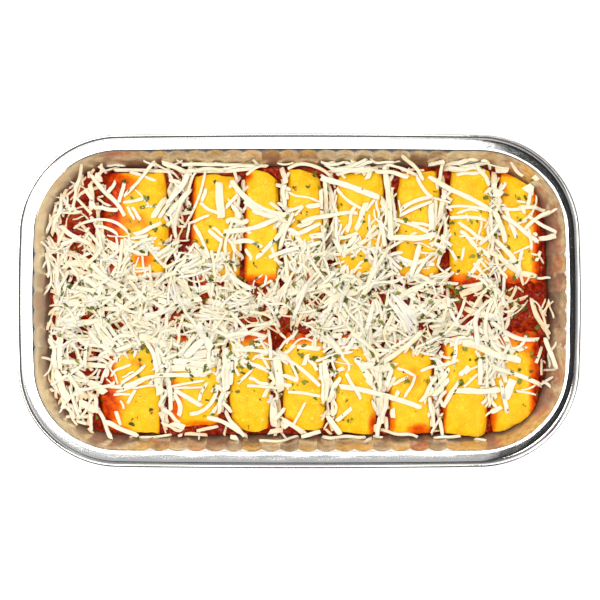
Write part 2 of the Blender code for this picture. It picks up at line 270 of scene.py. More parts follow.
def foil_material():
    nodes = Nodes("rolled_foil")
    grain = nodes.noise(0.5, detail=2.0, stretch=(0.12, 1.0, 1.0))
    patches = nodes.noise(14.0, detail=2.0)
    bright = nodes.ramp(patches, [(0.3, (0.86, 0.86, 0.855)), (0.7, (0.92, 0.92, 0.91))])
    film = nodes.noise(4.0, detail=5.0, roughness=0.65)
    # The wall's tan film: partly a film of fat, partly painted reflection of the food.
    fat_film_and_painted_light = nodes.ramp(film, [
        (0.35, (0.52, 0.37, 0.20)),
        (0.5, (0.70, 0.57, 0.39)),
        (0.65, (0.82, 0.72, 0.54)),
    ])
    wall = nodes.attribute("wall")
    # Painted shade: darker brown at the foot of the wall, next to the food.
    fat_film_and_painted_light = nodes.mix(nodes.range(wall, 0.72, 0.92, 0.0, 0.7), fat_film_and_painted_light, (0.46, 0.27, 0.12))
    # Painted light: the film is painted paler and less metallic on the wall at the left end.
    left_painted_light = nodes.attribute("left_painted_light")
    fat_film_and_painted_light = nodes.mix(nodes.math("MULTIPLY", left_painted_light, 0.75), fat_film_and_painted_light, (0.95, 0.83, 0.60))
    film_and_painted_light_share = nodes.range(wall, 0.0, 0.7, 0.0, 1.0)
    crease = nodes.attribute("crease")
    # Painted shade: dark grey painted into the bead's creases and over the outside of the tray.
    bright = nodes.mix(crease, bright, (0.20, 0.20, 0.205))
    polish = nodes.range(nodes.noise(7.0, detail=4.0), 0.3, 0.7, 0.07, 0.09)
    nodes.set(
        Base_Color=nodes.mix(film_and_painted_light_share, bright, fat_film_and_painted_light),
        Metallic=nodes.math("SUBTRACT", nodes.range(film_and_painted_light_share, 0.0, 1.0, 1.0, 0.62), nodes.math("MULTIPLY", left_painted_light, 0.2)),
        Roughness=nodes.math("ADD", polish, nodes.math("MULTIPLY", nodes.math("ADD", film_and_painted_light_share, crease), 0.18)),
    )
    fine = nodes.math("ADD", nodes.math("MULTIPLY", grain, 0.12), patches)
    nodes.bump(nodes.math("ADD", fine, nodes.math("MULTIPLY", nodes.math("MULTIPLY", film, wall), 6.0)), 0.03)
    return nodes.material


def pasta_material():
    nodes = Nodes("egg_pasta")
    blotches = nodes.noise(6.0, detail=4.0, roughness=0.6)
    speckle = nodes.noise(0.9, detail=3.0)
    plain = nodes.ramp(blotches, [
        (0.3, (0.77, 0.38, 0.002)),
        (0.5, (0.83, 0.46, 0.003)),
        (0.7, (0.89, 0.55, 0.02)),
    ])
    plain = nodes.mix(nodes.range(speckle, 0.5, 0.7, 0.0, 0.5), plain, (0.90, 0.60, 0.07))
    plain = nodes.mix(nodes.range(nodes.noise(1.5, detail=1.0), 0.68, 0.74, 0.0, 0.7), plain, (0.93, 0.74, 0.25))
    streaks = nodes.noise(5.0, detail=6.0, roughness=0.65)
    ragged = nodes.math("MULTIPLY", nodes.math("SUBTRACT", streaks, 0.5), 0.9)
    edge = nodes.math("MULTIPLY", nodes.attribute("stain"), nodes.math("ADD", 1.0, ragged))
    stain = nodes.math("ADD", edge, nodes.math("MULTIPLY", nodes.attribute("stain"), ragged), clamp=True)
    sauced = nodes.ramp(stain, [
        (0.0, (0.82, 0.42, 0.003)),
        (0.32, (0.80, 0.24, 0.002)),
        (0.6, (0.68, 0.095, 0.002)),
        (0.85, (0.44, 0.03, 0.002)),
        (1.0, (0.24, 0.010, 0.002)),
    ])
    colour = nodes.mix(nodes.range(stain, 0.08, 0.34, 0.0, 1.0), plain, sauced)
    nodes.set(
        Base_Color=colour,
        Roughness=nodes.range(stain, 0.1, 0.8, 0.44, 0.34),
        Subsurface_Weight=0.15,
        Subsurface_Scale=0.003,
        Subsurface_Radius=(1.0, 0.5, 0.05),
        Specular_IOR_Level=nodes.range(stain, 0.1, 0.6, 0.13, 0.05),
    )
    height = nodes.math("ADD", nodes.math("MULTIPLY", speckle, 0.35), nodes.noise(2.6, detail=3.0))
    nodes.bump(height, 0.26)
    return nodes.material


def filling_material():
    nodes = Nodes("meat_filling")
    lumps = nodes.noise(2.4, detail=5.0, roughness=0.7)
    colour = nodes.ramp(lumps, [
        (0.3, (0.16, 0.025, 0.008)),
        (0.5, (0.42, 0.10, 0.02)),
        (0.72, (0.72, 0.30, 0.07)),
    ])
    nodes.set(Base_Color=colour, Roughness=nodes.range(lumps, 0.3, 0.7, 0.25, 0.5))
    nodes.bump(lumps, 0.8)
    return nodes.material


def sauce_material():
    nodes = Nodes("tomato_sauce")
    lumps = nodes.noise(3.4, detail=6.0, roughness=0.7, distortion=0.4)
    oil = nodes.noise(9.0, detail=3.0)
    deep = nodes.ramp(lumps, [
        (0.28, (0.07, 0.002, 0.001)),
        (0.48, (0.19, 0.007, 0.001)),
        (0.62, (0.38, 0.030, 0.003)),
        (0.80, (0.62, 0.14, 0.008)),
    ])
    colour = nodes.mix(nodes.range(oil, 0.58, 0.74, 0.0, 0.45), deep, (0.54, 0.075, 0.008))
    nodes.set(
        Base_Color=colour,
        Roughness=nodes.range(nodes.noise(2.0), 0.35, 0.65, 0.10, 0.30),
        Specular_IOR_Level=nodes.range(nodes.noise(1.4, detail=2.0), 0.56, 0.66, 0.04, 0.7),
    )
    nodes.bump(nodes.math("ADD", lumps, nodes.math("MULTIPLY", nodes.noise(0.9), 0.3)), 0.7)
    return nodes.material


def cheese_material():
    nodes = Nodes("grated_cheese")
    tone = nodes.attribute("tone")
    cream = nodes.ramp(tone, [
        (0.0, (0.86, 0.74, 0.49)),
        (0.3, (0.875, 0.785, 0.575)),
        (1.0, (0.89, 0.81, 0.635)),
    ])
    veins = nodes.noise(1.6, detail=4.0)
    colour = nodes.mix(nodes.range(veins, 0.4, 0.7, 0.0, 0.3), cream, (0.91, 0.83, 0.68))
    # Painted shade: strips lying deep under others are tinted a darker, warmer yellow.
    colour = nodes.mix(nodes.math("MULTIPLY", nodes.attribute("painted_depth_shade"), 0.42), colour, (0.86, 0.70, 0.34))
    colour = nodes.mix(nodes.math("MULTIPLY", nodes.attribute("stain"), 0.35), colour, (0.82, 0.36, 0.08))
    nodes.set(
        Base_Color=colour,
        Roughness=nodes.range(veins, 0.3, 0.7, 0.38, 0.55),
        Subsurface_Weight=0.6,
        Subsurface_Scale=0.003,
        Subsurface_Radius=(1.0, 0.80, 0.42),
        Specular_IOR_Level=0.5,
    )
    nodes.bump(nodes.noise(0.8, detail=3.0, stretch=(1.0, 1.0, 0.5)), 0.10)
    return nodes.material


def herb_material():
    nodes = Nodes("dried_parsley")
    tone = nodes.attribute("tone")
    colour = nodes.ramp(tone, [
        (0.0, (0.035, 0.04, 0.004)),
        (0.4, (0.11, 0.125, 0.010)),
        (1.0, (0.27, 0.28, 0.035)),
    ])
    colour = nodes.mix(nodes.range(nodes.noise(0.8), 0.4, 0.7, 0.0, 0.5), colour, (0.16, 0.18, 0.015))
    nodes.set(
        Base_Color=colour,
        Roughness=nodes.range(nodes.noise(1.2), 0.3, 0.7, 0.5, 0.7),
        Specular_IOR_Level=0.15,
    )
    nodes.bump(nodes.noise(0.5), 0.12)
    return nodes.material


def floor_material():
    nodes = Nodes("white_paper")
    fibre = nodes.noise(3.0, detail=2.0)
    nodes.set(
        Base_Color=nodes.ramp(fibre, [(0.3, (0.93, 0.93, 0.93)), (0.7, (0.95, 0.95, 0.95))]),
        Roughness=0.8,
        Emission_Color=(1.0, 1.0, 1.0, 1.0),
        Emission_Strength=0.45,
    )
    return nodes.material


# ---------------------------------------------------------------- tray

# wall: 1 at the foot of the wall, less towards its top, 0 on clean foil; it sets how much tan film, partly fat and
# partly painted reflection of the food, covers the foil, and the painted shade at the foot.
# rise: how much higher the ring lies over a flute.  crease: painted shade, 1 where the foil's folds are painted
# darkest; they are rougher there too.
# matt: how much rougher the foil is away from its creases, and how much painted shade darkens it.
Ring = namedtuple("Ring", "inset z flute pleat dent wall rise crease matt", defaults=(0.0, 0.0, 0.0, 0.0))


class Perimeter:
    """The tray's outline as points that move along their own normals with the inset."""

    def __init__(self):
        centres, normals, shares, arcs = [], [], [], []
        corner_steps = int(TRAY_CORNER * pi / 2 / PLEAT_PITCH * PLEAT_STEPS)
        for quarter in range(4):
            long_way = quarter % 2
            core_out, core_along = (CORE_Y, CORE_X) if long_way else (CORE_X, CORE_Y)
            flutes = FLUTES_LONG_SIDE if long_way else FLUTES_SHORT_SIDE
            half = core_along - SIDE_BOW
            along, share = self.side(half, flutes)
            out = core_out - SIDE_BOW * (along / half) ** 2
            step = np.arange(1, corner_steps) / corner_steps * pi / 2
            centre = np.column_stack([
                np.concatenate([out, np.full(len(step), core_out - SIDE_BOW)]),
                np.concatenate([along, np.full(len(step), half)]),
            ])
            normal = np.column_stack([
                np.concatenate([np.ones(len(along)), np.cos(step)]),
                np.concatenate([np.zeros(len(along)), np.sin(step)]),
            ])
            turn = quarter * pi / 2
            spin = np.array([[np.cos(turn), np.sin(turn)], [-np.sin(turn), np.cos(turn)]])
            centres.append(centre @ spin)
            normals.append(normal @ spin)
            shares.append(np.concatenate([share, np.ones(len(step))]))
            arcs.append(np.concatenate([np.full(len(along), -1.0), np.arange(1, corner_steps)]))
        self.centre = np.vstack(centres)
        self.normal = np.vstack(normals)
        self.share = np.concatenate(shares)
        arc = np.concatenate(arcs)
        self.pleat = np.where(arc < 0, 0.0, np.cos(2 * pi * arc / PLEAT_STEPS))
        self.pleat *= np.where(arc < 0, 0.0, np.sin(pi * np.clip(arc / corner_steps, 0, 1)) ** 0.5)

    @staticmethod
    def side(half, flutes):
        reach = flutes * FLUTE_PITCH / 2
        inner = np.linspace(-reach, reach, flutes * FLUTE_STEPS + 1)
        share = np.abs(np.sin(pi * (inner + reach) / FLUTE_PITCH)) ** 0.8
        last = reach + FLUTE_PITCH / 2 * np.arange(1, 6) / 5
        rise = np.sin(pi * (last - reach) / FLUTE_PITCH) ** 0.8
        end = np.append(last, half)
        rise = np.append(rise, 1.0)
        along = np.concatenate([-end[::-1], inner, end])
        return along, np.concatenate([rise[::-1], share, rise])

    def ring(self, ring, dents):
        reach = TRAY_CORNER - ring.inset + ring.flute * FLUTE_DEPTH * self.share
        place = self.centre + self.normal * reach[:, None]
        trim = NARROW_END * np.interp(ring.inset, (3.1, SHOULDER_INSET, WALL_INSET, 17.0), (0, 1, 1, 0))
        place[:, 0] += trim * np.maximum(self.normal[:, 0], 0.0)
        z = ring.z + ring.pleat * self.pleat + ring.dent * dents(place[:, 0], place[:, 1])
        z += ring.rise * self.share
        return np.column_stack([place, z])


def wall_inset(z):
    ledge = RIM - LEDGE_DROP
    below = np.maximum(0.0, WALL_FOOT - z) / WALL_FOOT
    return WALL_INSET + (ledge - np.maximum(z, WALL_FOOT)) * tan(WALL_DRAFT) + FOOT_INSET * below


def shoulder(inset, flute, wall, under=0.0):
    """Ring on the slope between flange and wall, which every flute cuts into as an arc."""
    z = RIM - FLANGE_DROP - 0.06 - (inset - SHOULDER_INSET) * SHOULDER_SLOPE
    return Ring(inset - under, z - under, flute, 0, 0, wall, flute * FLUTE_DEPTH * SHOULDER_SLOPE)


def tray_rings():
    """Rings from the floor up inside, over the bead and down outside."""
    flange = RIM - FLANGE_DROP
    ledge = RIM - LEDGE_DROP
    foot = float(wall_inset(WALL_FOOT))
    rings = [Ring(foot + FOOT_INSET + 12.0, FOIL, 0, 0, 0), Ring(foot + FOOT_INSET + 1.0, FOIL, 0, 0, 0)]
    for turn in np.linspace(0.15, 1.0, 6):
        lift = WALL_FOOT * (1 - np.cos(turn * pi / 2))
        rings.append(Ring(foot + FOOT_INSET * (1 - np.sin(turn * pi / 2)), FOIL + lift * 0.9, 0.1 * turn, 0, 0, 1))
    inner_wall = []
    for share in np.linspace(0.0, 1.0, 9):
        z = WALL_FOOT + FOIL + (ledge - 0.7 - WALL_FOOT - FOIL) * share
        flute = 0.1 + 0.9 * share ** 0.7
        inner_wall.append(Ring(float(wall_inset(z)), z, flute, 0, 0, 1.0 - 0.3 * share))
    rings += inner_wall
    rings += [
        Ring(WALL_INSET - 0.05, ledge - 0.10, 1.0, 0, 0, 0.7),
        Ring(WALL_INSET - 0.10, ledge + 0.35, 1.0, 0, 0, 0.7, 0.35),
        Ring(WALL_INSET - 0.25, ledge + 0.70, 0.95, 0, 0, 0.65, 0.62),
    ]
    rings += [shoulder(inset, flute, wall) for inset, flute, wall in (
        (11.65, 0.88, 0.5), (10.9, 0.55, 0.1), (10.2, 0.25, 0.0), (SHOULDER_INSET, 0.0, 0.0),
    )]
    rings += [
        Ring(9.0, flange, 0, 0, 0),
        Ring(7.6, flange, 0, 0, 0.02),
        Ring(6.2, flange, 0, 0, 0.03),
        Ring(4.8, flange, 0, 0, 0.02),
        Ring(3.7, flange - 0.03, 0, 0, 0),
        Ring(3.1, flange - 0.14, 0, 0.02, 0, crease=0.4),
        Ring(2.85, flange - 0.30, 0, 0.04, 0, crease=0.9),
        Ring(2.66, flange - 0.40, 0, 0.04, 0, crease=1.0),
    ]
    rings += [Ring(inset, RIM + drop, 0, 0.02 if drop > -0.5 else 0.0, 0, crease=crease)
              for inset, drop, crease in BEAD]
    outside = [
        Ring(2.7, flange - 0.42 - FOIL, 0, 0.04, 0),
        Ring(3.9, flange - FOIL, 0, 0, 0),
        Ring(6.2, flange - FOIL, 0, 0, 0.03),
        Ring(SHOULDER_INSET - 0.5, flange - FOIL, 0, 0, 0),
        shoulder(10.9, 0.55, 0.0, FOIL),
        shoulder(11.65, 0.88, 0.0, FOIL),
    ]
    outside += [Ring(ring.inset - FOIL, ring.z - 0.1, ring.flute, 0, 0) for ring in inner_wall[::-2]]
    for turn in np.linspace(1.0, 0.15, 6):
        lift = (WALL_FOOT + FOIL) * (1 - np.cos(turn * pi / 2)) * 0.9
        outside.append(Ring(foot + FOOT_INSET * (1 - np.sin(turn * pi / 2)) - FOIL, lift, 0.1 * turn, 0, 0))
    outside += [Ring(foot + FOOT_INSET + 1.0, 0.0, 0, 0, 0), Ring(foot + FOOT_INSET + 12.0, 0.0, 0, 0, 0)]
    # The outside of the tray is rougher, and painted darker as painted shade.
    return rings + [ring._replace(matt=OUTSIDE_DULL_AND_SHADE) for ring in outside]


def make_tray():
    outline = Perimeter()
    dents = Wobble(26.0, seed=3)
    rings = tray_rings()
    rows = [outline.ring(ring, dents) for ring in rings]
    count = len(rows[0])
    out_x, out_y = outline.normal.T
    wall = np.array([ring.wall for ring in rings])
    # Painted light: the wall's film is painted paler and less metallic at the left end, where the lamps leave the
    # wall darker.
    left_painted_light = np.outer(wall > 0, np.maximum(-out_x, 0.0))
    # Painted shade: the creases are painted darker along the right end and the front than along the left end and the
    # back.
    crease = np.outer([ring.crease for ring in rings], 0.725 + 0.275 * (out_x - out_y).clip(-1.0, 1.0))
    matt = np.repeat([ring.matt for ring in rings], count)
    quads = grid_quads(len(rows), count)[:, ::-1]
    floor = np.arange(count)[None, :]
    under = (len(rows) - 1) * count + np.arange(count)[None, ::-1]
    new_piece("foil_tray", np.vstack(rows), [quads, floor, under], [foil_material()], ["tray"],
              values={"wall": np.repeat(wall, count), "left_painted_light": left_painted_light.ravel(), "crease": crease.ravel() + matt},
              sharp=40.0)


# ---------------------------------------------------------------- food: shared shapes

def inset_of(x, y):
    """Distance in from the tray's outer outline."""
    out_x = np.maximum(np.abs(x) - CORE_X, 0.0)
    out_y = np.maximum(np.abs(y) - CORE_Y, 0.0)
    core = np.maximum(np.abs(x) - CORE_X, np.abs(y) - CORE_Y)
    return TRAY_CORNER - np.where(core > 0, np.hypot(out_x, out_y), core)


def press_inside(points, clearance):
    """Points moved in where they would be outside the wall, as the foil presses soft food."""
    reach = TRAY_CORNER - wall_inset(points[..., 2]) - clearance
    out_x = np.maximum(np.abs(points[..., 0]) - CORE_X, 0.0)
    out_y = np.maximum(np.abs(points[..., 1]) - CORE_Y, 0.0)
    excess = np.maximum(np.hypot(out_x, out_y) / reach, 1.0)
    points[..., 0] -= np.sign(points[..., 0]) * out_x * (1.0 - 1.0 / excess)
    points[..., 1] -= np.sign(points[..., 1]) * out_y * (1.0 - 1.0 / excess)
    return points


SAUCE_SWELL = Wobble(21.0, seed=11)
SAUCE_LUMPS = Wobble(8.5, seed=12, waves=12)
SAUCE_BITS = Wobble(3.6, seed=13, waves=14)


def sauce_height(x, y):
    band = np.exp(-((y - SAUCE_BAND_Y) / SAUCE_BAND_HALF) ** 4) * SAUCE_BAND_RISE
    heap = smooth_step((SAUCE_HEAP_X + 6.0 - x) / 14.0) * SAUCE_HEAP_RISE
    strip = smooth_step((x - 145.0) / 4.0) * 2.5
    front = np.exp(-(((x + 62.0) / 17.0) ** 4 + ((y + 80.5) / 5.0) ** 4)) * 3.5
    rise = np.maximum(np.maximum(band, heap), np.maximum(strip, front))
    bits = 1.1 * SAUCE_LUMPS(x, y) + 0.55 * np.abs(SAUCE_BITS(x, y))
    return SAUCE_LEVEL + rise + 1.0 * SAUCE_SWELL(x, y) + bits - 0.8


# ---------------------------------------------------------------- pasta

Roll = namedtuple("Roll", "node seam flare skew cut_left cut_right left right droop")
# seam: where the sheet's outer edge lies, in degrees round the tube from its right side.
# cut: how far a corner of the outer end is set back.
# left, right: how far sauce reaches in over the flanks, as a share of half the width.
ROLLS = (
    Roll("pasta_top_1", -60, 1.02, 0.0, 0.6, -0.6, 0.86, 0.12, 0.6),
    Roll("pasta_top_2", 215, 0.98, -1.0, 1.0, 0.0, 0.42, 0.10, 0.5),
    Roll("pasta_top_3", 62, 0.95, -3.6, 0.0, 5.0, 0.40, 0.25, 0.5),
    Roll("pasta_top_4", 250, 0.98, -2.2, 0.0, 3.4, 0.10, 0.10, 0.8),
    Roll("pasta_top_5", -70, 1.0, 0.8, 0.0, 0.8, 0.15, 0.15, 0.6),
    Roll("pasta_top_6", 228, 0.98, 1.2, 0.0, 1.0, 0.15, 0.10, 1.0),
    Roll("pasta_top_7", -50, 0.98, 0.0, 0.6, 0.8, 0.15, 0.15, 0.7),
    Roll("pasta_top_8", 240, 1.0, -1.4, 0.0, 2.0, 0.30, 0.60, 0.8),
    Roll("pasta_bottom_1", 236, 1.03, 0.6, 2.6, 0.0, 0.75, 0.15, 0.5),
    Roll("pasta_bottom_2", -62, 0.98, -1.0, 1.0, 0.0, 0.50, 0.25, 1.2),
    Roll("pasta_bottom_3", 246, 0.96, 1.4, 5.0, 3.0, 0.10, 0.10, 1.4),
    Roll("pasta_bottom_4", -70, 1.0, 2.6, 4.6, 1.6, 0.15, 0.10, 0.6),
    Roll("pasta_bottom_5", 224, 1.03, 1.0, 0.0, -1.2, 0.10, 0.15, 0.4),
    Roll("pasta_bottom_6", 236, 1.02, -0.8, 0.0, 0.6, 0.35, 0.30, 0.2),
    Roll("pasta_bottom_7", -58, 1.0, 0.4, 1.4, 0.0, 0.40, 0.15, 0.6),
    Roll("pasta_bottom_8", 240, 1.0, -1.2, 0.0, 4.2, 0.12, 0.62, 0.8),
)
TURNS = 1.2
WIDTH_ALONG = ((0.0, 0.13, 0.5, 1.0), (0.97, 1.01, 1.09, 1.0))
HEIGHT_ALONG = ((0.0, 0.05, 0.15, 0.55, 1.0), (0.84, 0.91, 0.975, 1.0, 0.84))

Blot = namedtuple("Blot", "x y across along depth")
STAINS = (
    Blot(-110.0, 71.0, 10.0, 7.0, 0.75),
    Blot(-98.0, 48.0, 8.0, 7.0, 0.4),
    Blot(-95.0, 26.0, 7.0, 6.0, 0.6),
    Blot(-67.0, 66.0, 4.5, 13.0, 0.85),
    Blot(-33.0, 76.0, 5.0, 4.0, 0.8),
    Blot(-13.0, 80.0, 4.0, 3.0, 0.5),
    Blot(66.0, 80.0, 9.0, 2.2, 0.45),
    Blot(131.0, 79.0, 12.0, 3.5, 0.7),
    Blot(146.0, 66.0, 4.0, 12.0, 0.75),
    Blot(124.0, 66.0, 5.0, 6.0, 0.4),
    Blot(-116.0, -64.0, 8.0, 15.0, 0.8),
    Blot(-112.0, -80.0, 7.0, 4.0, 0.95),
    Blot(-97.0, -38.0, 6.0, 5.0, 0.3),
    Blot(-76.0, -62.0, 5.0, 14.0, 0.7),
    Blot(-60.0, -76.0, 13.0, 3.0, 0.5),
    Blot(-6.0, -76.0, 4.0, 5.0, 0.6),
    Blot(46.0, -76.0, 3.5, 7.0, 0.75),
    Blot(56.0, -74.0, 3.5, 9.0, 0.6),
    Blot(74.0, -79.0, 8.0, 4.0, 0.7),
    Blot(70.0, -46.0, 6.0, 8.0, 0.3),
    Blot(88.0, -67.0, 2.5, 14.0, 0.6),
    Blot(140.0, -20.0, 6.0, 14.0, 0.6),
    Blot(118.0, -72.0, 4.0, 8.0, 0.55),
    Blot(138.0, -78.0, 8.0, 4.0, 0.6),
)
Dent = namedtuple("Dent", "x y across along depth")
DENTS = (
    Dent(-17.0, -47.0, 5.0, 6.0, 1.6),
    Dent(-26.0, 72.0, 4.0, 9.0, 1.8),
    Dent(7.0, -58.0, 10.0, 2.6, 1.0),
    Dent(-70.0, 52.0, 5.0, 9.0, 1.4),
    Dent(42.0, 70.0, 6.0, 4.0, 0.7),
    Dent(97.0, -40.0, 8.0, 3.0, 0.8),
    Dent(132.0, -68.0, 9.0, 3.0, 0.9),
    Dent(29.0, -66.0, 4.0, 10.0, 0.7),
)
PASTA_WAVES = Wobble(19.0, seed=21, dimensions=3)
PASTA_RIPPLES = Wobble(7.0, seed=22, dimensions=3)
END_WAVES = Wobble(13.0, seed=23, dimensions=2)


def hollows(x, y, patches):
    """Depth at each place of a group of soft-edged oval patches."""
    depth = np.zeros_like(x)
    for patch in patches:
        away = ((x - patch.x) / patch.across) ** 2 + ((y - patch.y) / patch.along) ** 2
        depth = np.maximum(depth, patch.depth * np.exp(-away ** 1.5))
    return depth


class Shape:
    """The form of one tube, taken from the box of its solid."""

    def __init__(self, roll):
        self.roll = roll
        low, high = box_mm(roll.node)
        self.side = 1.0 if low[1] + high[1] > 0 else -1.0
        self.x = (low[0] + high[0]) / 2
        self.width = (high[0] - low[0]) / max(roll.flare, 1.0)
        self.end = max(abs(low[1]), abs(high[1])) - abs(roll.skew) * 0.6
        self.inner = min(abs(low[1]), abs(high[1]))
        self.foot = low[2]
        self.height = high[2] - low[2]

    def spread(self, along):
        flare = 1.0 + (self.roll.flare - 1.0) * (1.0 - along)
        return self.width * np.interp(along, *WIDTH_ALONG) * flare, self.height * np.interp(along, *HEIGHT_ALONG)

    def points(self, turn, along, shrink):
        """Places on the tube: turn in radians from its right side, along from the outer end, shrink inwards."""
        width, height = self.spread(along)
        power = 2.0 / TUBE_SQUARENESS
        ripple = 0.40 * PASTA_WAVES(self.x + 14 * np.cos(turn), 80 * along, 14 * np.sin(turn) + self.side * 7)
        ripple += 0.13 * PASTA_RIPPLES(self.x + 14 * np.cos(turn), 80 * along, 14 * np.sin(turn))
        shrink = shrink - ripple
        across = np.sign(np.cos(turn)) * np.abs(np.cos(turn)) ** power * (width / 2 - shrink)
        up = height / 2 + np.sign(np.sin(turn)) * np.abs(np.sin(turn)) ** power * (height / 2 - shrink)
        share = across / (self.width / 2)
        near = np.exp(-along / 0.16)
        cut = self.roll.cut_left * smooth_step((-share - 0.15) / 0.85)
        cut = cut + self.roll.cut_right * smooth_step((share - 0.15) / 0.85)
        skew = self.roll.skew * (1.0 - along) * share
        wavy = 0.7 * END_WAVES(self.x + 1.3 * across, up * 0.8)
        lean = 0.25 * tan(WALL_DRAFT) * (1.0 - along) * (height - up)
        y = self.end - (self.end - self.inner) * along - lean + skew * 0.6 - (cut + 0.5 - wavy) * near
        y = self.side * y
        x = self.x + across
        top = smooth_step((up / self.height - 0.45) / 0.4)
        sag = hollows(x, y, DENTS) + self.roll.droop * np.exp(-along / 0.05) * (0.6 + 0.4 * np.cos(3.0 * share))
        return np.stack([x, y, self.foot + up - sag * top], axis=-1)

    def stain(self, points):
        x, y, z = points[..., 0], points[..., 1], points[..., 2]
        share = (x - self.x) / (self.width / 2)
        left = 0.85 * smooth_step((-share - 1.05 + self.roll.left) / 0.4)
        right = 0.85 * smooth_step((share - 1.05 + self.roll.right) / 0.4)
        band = 0.75 * smooth_step((25.0 - np.abs(y - SAUCE_BAND_Y)) / 9.0)
        low = 0.9 * smooth_step((SAUCE_LEVEL + 3.0 - z) / 4.0)
        patches = hollows(x, y, STAINS)
        return np.clip(np.maximum.reduce([left, right, band, low, patches]), 0.0, 1.0)

    def top(self, x, y):
        """Height of the tube's upper side over places beside and under it, -1 where there is none."""
        along = (self.end - self.side * y) / (self.end - self.inner)
        inside = (along > -0.01) & (along < 1.0)
        width, height = self.spread(np.clip(along, 0.0, 1.0))
        share = np.abs(x - self.x) / (width / 2)
        inside &= share < 1.0
        arch = (1.0 - np.minimum(share, 1.0) ** TUBE_SQUARENESS) ** (1.0 / TUBE_SQUARENESS)
        z = self.foot + height / 2 * (1.0 + arch) - hollows(x, y, DENTS) - 0.2
        return np.where(inside, z, -1.0)


def make_roll(shape, material):
    roll = shape.roll
    turns = radians(roll.seam) + np.linspace(0.0, TURNS * 2 * pi, AROUND)
    layer = (PASTA_SHEET + SHEET_GAP) * (turns - turns[0]) / (2 * pi)
    along = np.concatenate([[0.0], np.linspace(0.004, 1.0, ALONG) ** 1.25, [1.0]])
    thin = np.ones(len(along))
    thin[0] = thin[-1] = 0.5
    rows = []
    for place, share in zip(along, thin):
        slack = PASTA_SHEET * (1.0 - share) / 2
        for way, depth in ((1, slack), (-1, PASTA_SHEET - slack)):
            shrink = (layer + depth)[::way]
            row = shape.points(turns[::way], np.full(AROUND, place), shrink)
            rows.append(press_inside(row, 0.4 + shrink))
    points = np.array(rows).reshape(len(along), 2 * AROUND, 3)
    points[0, :, 1] += shape.side * 0.3
    quads = grid_quads(len(along), 2 * AROUND)
    index = np.arange(2 * AROUND)
    outside, inside = index[:AROUND], index[:AROUND - 1:-1]
    strip = np.stack([outside[:-1], outside[1:], inside[1:], inside[:-1]], axis=-1)
    last = (len(along) - 1) * 2 * AROUND
    polygons = [quads[:, ::-1], strip, strip[:, ::-1] + last]
    if shape.side < 0:
        polygons = [group[:, ::-1] for group in polygons]
    flat = points.reshape(-1, 3)
    return new_piece(roll.node.replace("pasta", "roll"), flat, polygons, [material], [roll.node],
                     values={"stain": shape.stain(flat)}, sharp=55.0)


FILLING_LUMPS = Wobble(5.5, seed=31, dimensions=3, waves=12)
FILLING_CRUMBS = Wobble(2.2, seed=32, dimensions=3, waves=12)


def make_filling(shape, material):
    """A lumpy plug that fills the bore and stops just inside the ends."""
    node = shape.roll.node.replace("pasta", "filling")
    low, high = box_mm(node)
    length = shape.end - shape.inner
    turns = np.linspace(0.0, 2 * pi, 56, endpoint=False)
    out = np.concatenate([np.linspace(0.06, 1.0, 9), np.ones(24), np.linspace(1.0, 0.06, 9)])
    recess = (high[1] - low[1] - length) / -2 / length
    body = np.linspace(recess, 1.0 - recess, 24)
    along = np.concatenate([np.full(9, recess), body, np.full(9, 1.0 - recess)])
    bore = TURNS * (PASTA_SHEET + SHEET_GAP) + 1.0
    rows = []
    for place, share in zip(along, out):
        row = shape.points(turns, np.full(len(turns), place), bore)
        middle = row.mean(axis=0)
        row = middle + (row - middle) * share
        lump = 0.8 * FILLING_LUMPS(*row.T) + 0.4 * FILLING_CRUMBS(*row.T)
        way = (row - middle) / np.maximum(np.linalg.norm(row - middle, axis=1), 0.5)[:, None]
        row = row + way * (np.minimum(lump, 0.7) * share)[:, None]
        if share < 1.0 or place in (body[0], body[-1]):
            bulge = (1.0 - share) * 1.2 + 0.8 * lump
            row[:, 1] += shape.side * bulge * (1.0 if place < 0.5 else -1.0)
        rows.append(press_inside(row, 2.6))
    quads = grid_quads(len(rows), len(turns))[:, ::-1]
    cap = np.arange(len(turns))[None, :]
    polygons = [quads, cap, cap[:, ::-1] + (len(rows) - 1) * len(turns)]
    if shape.side < 0:
        polygons = [group[:, ::-1] for group in polygons]
    return new_piece(node.replace("filling", "mince"), np.vstack(rows), polygons, [material], [node])


# ---------------------------------------------------------------- sauce

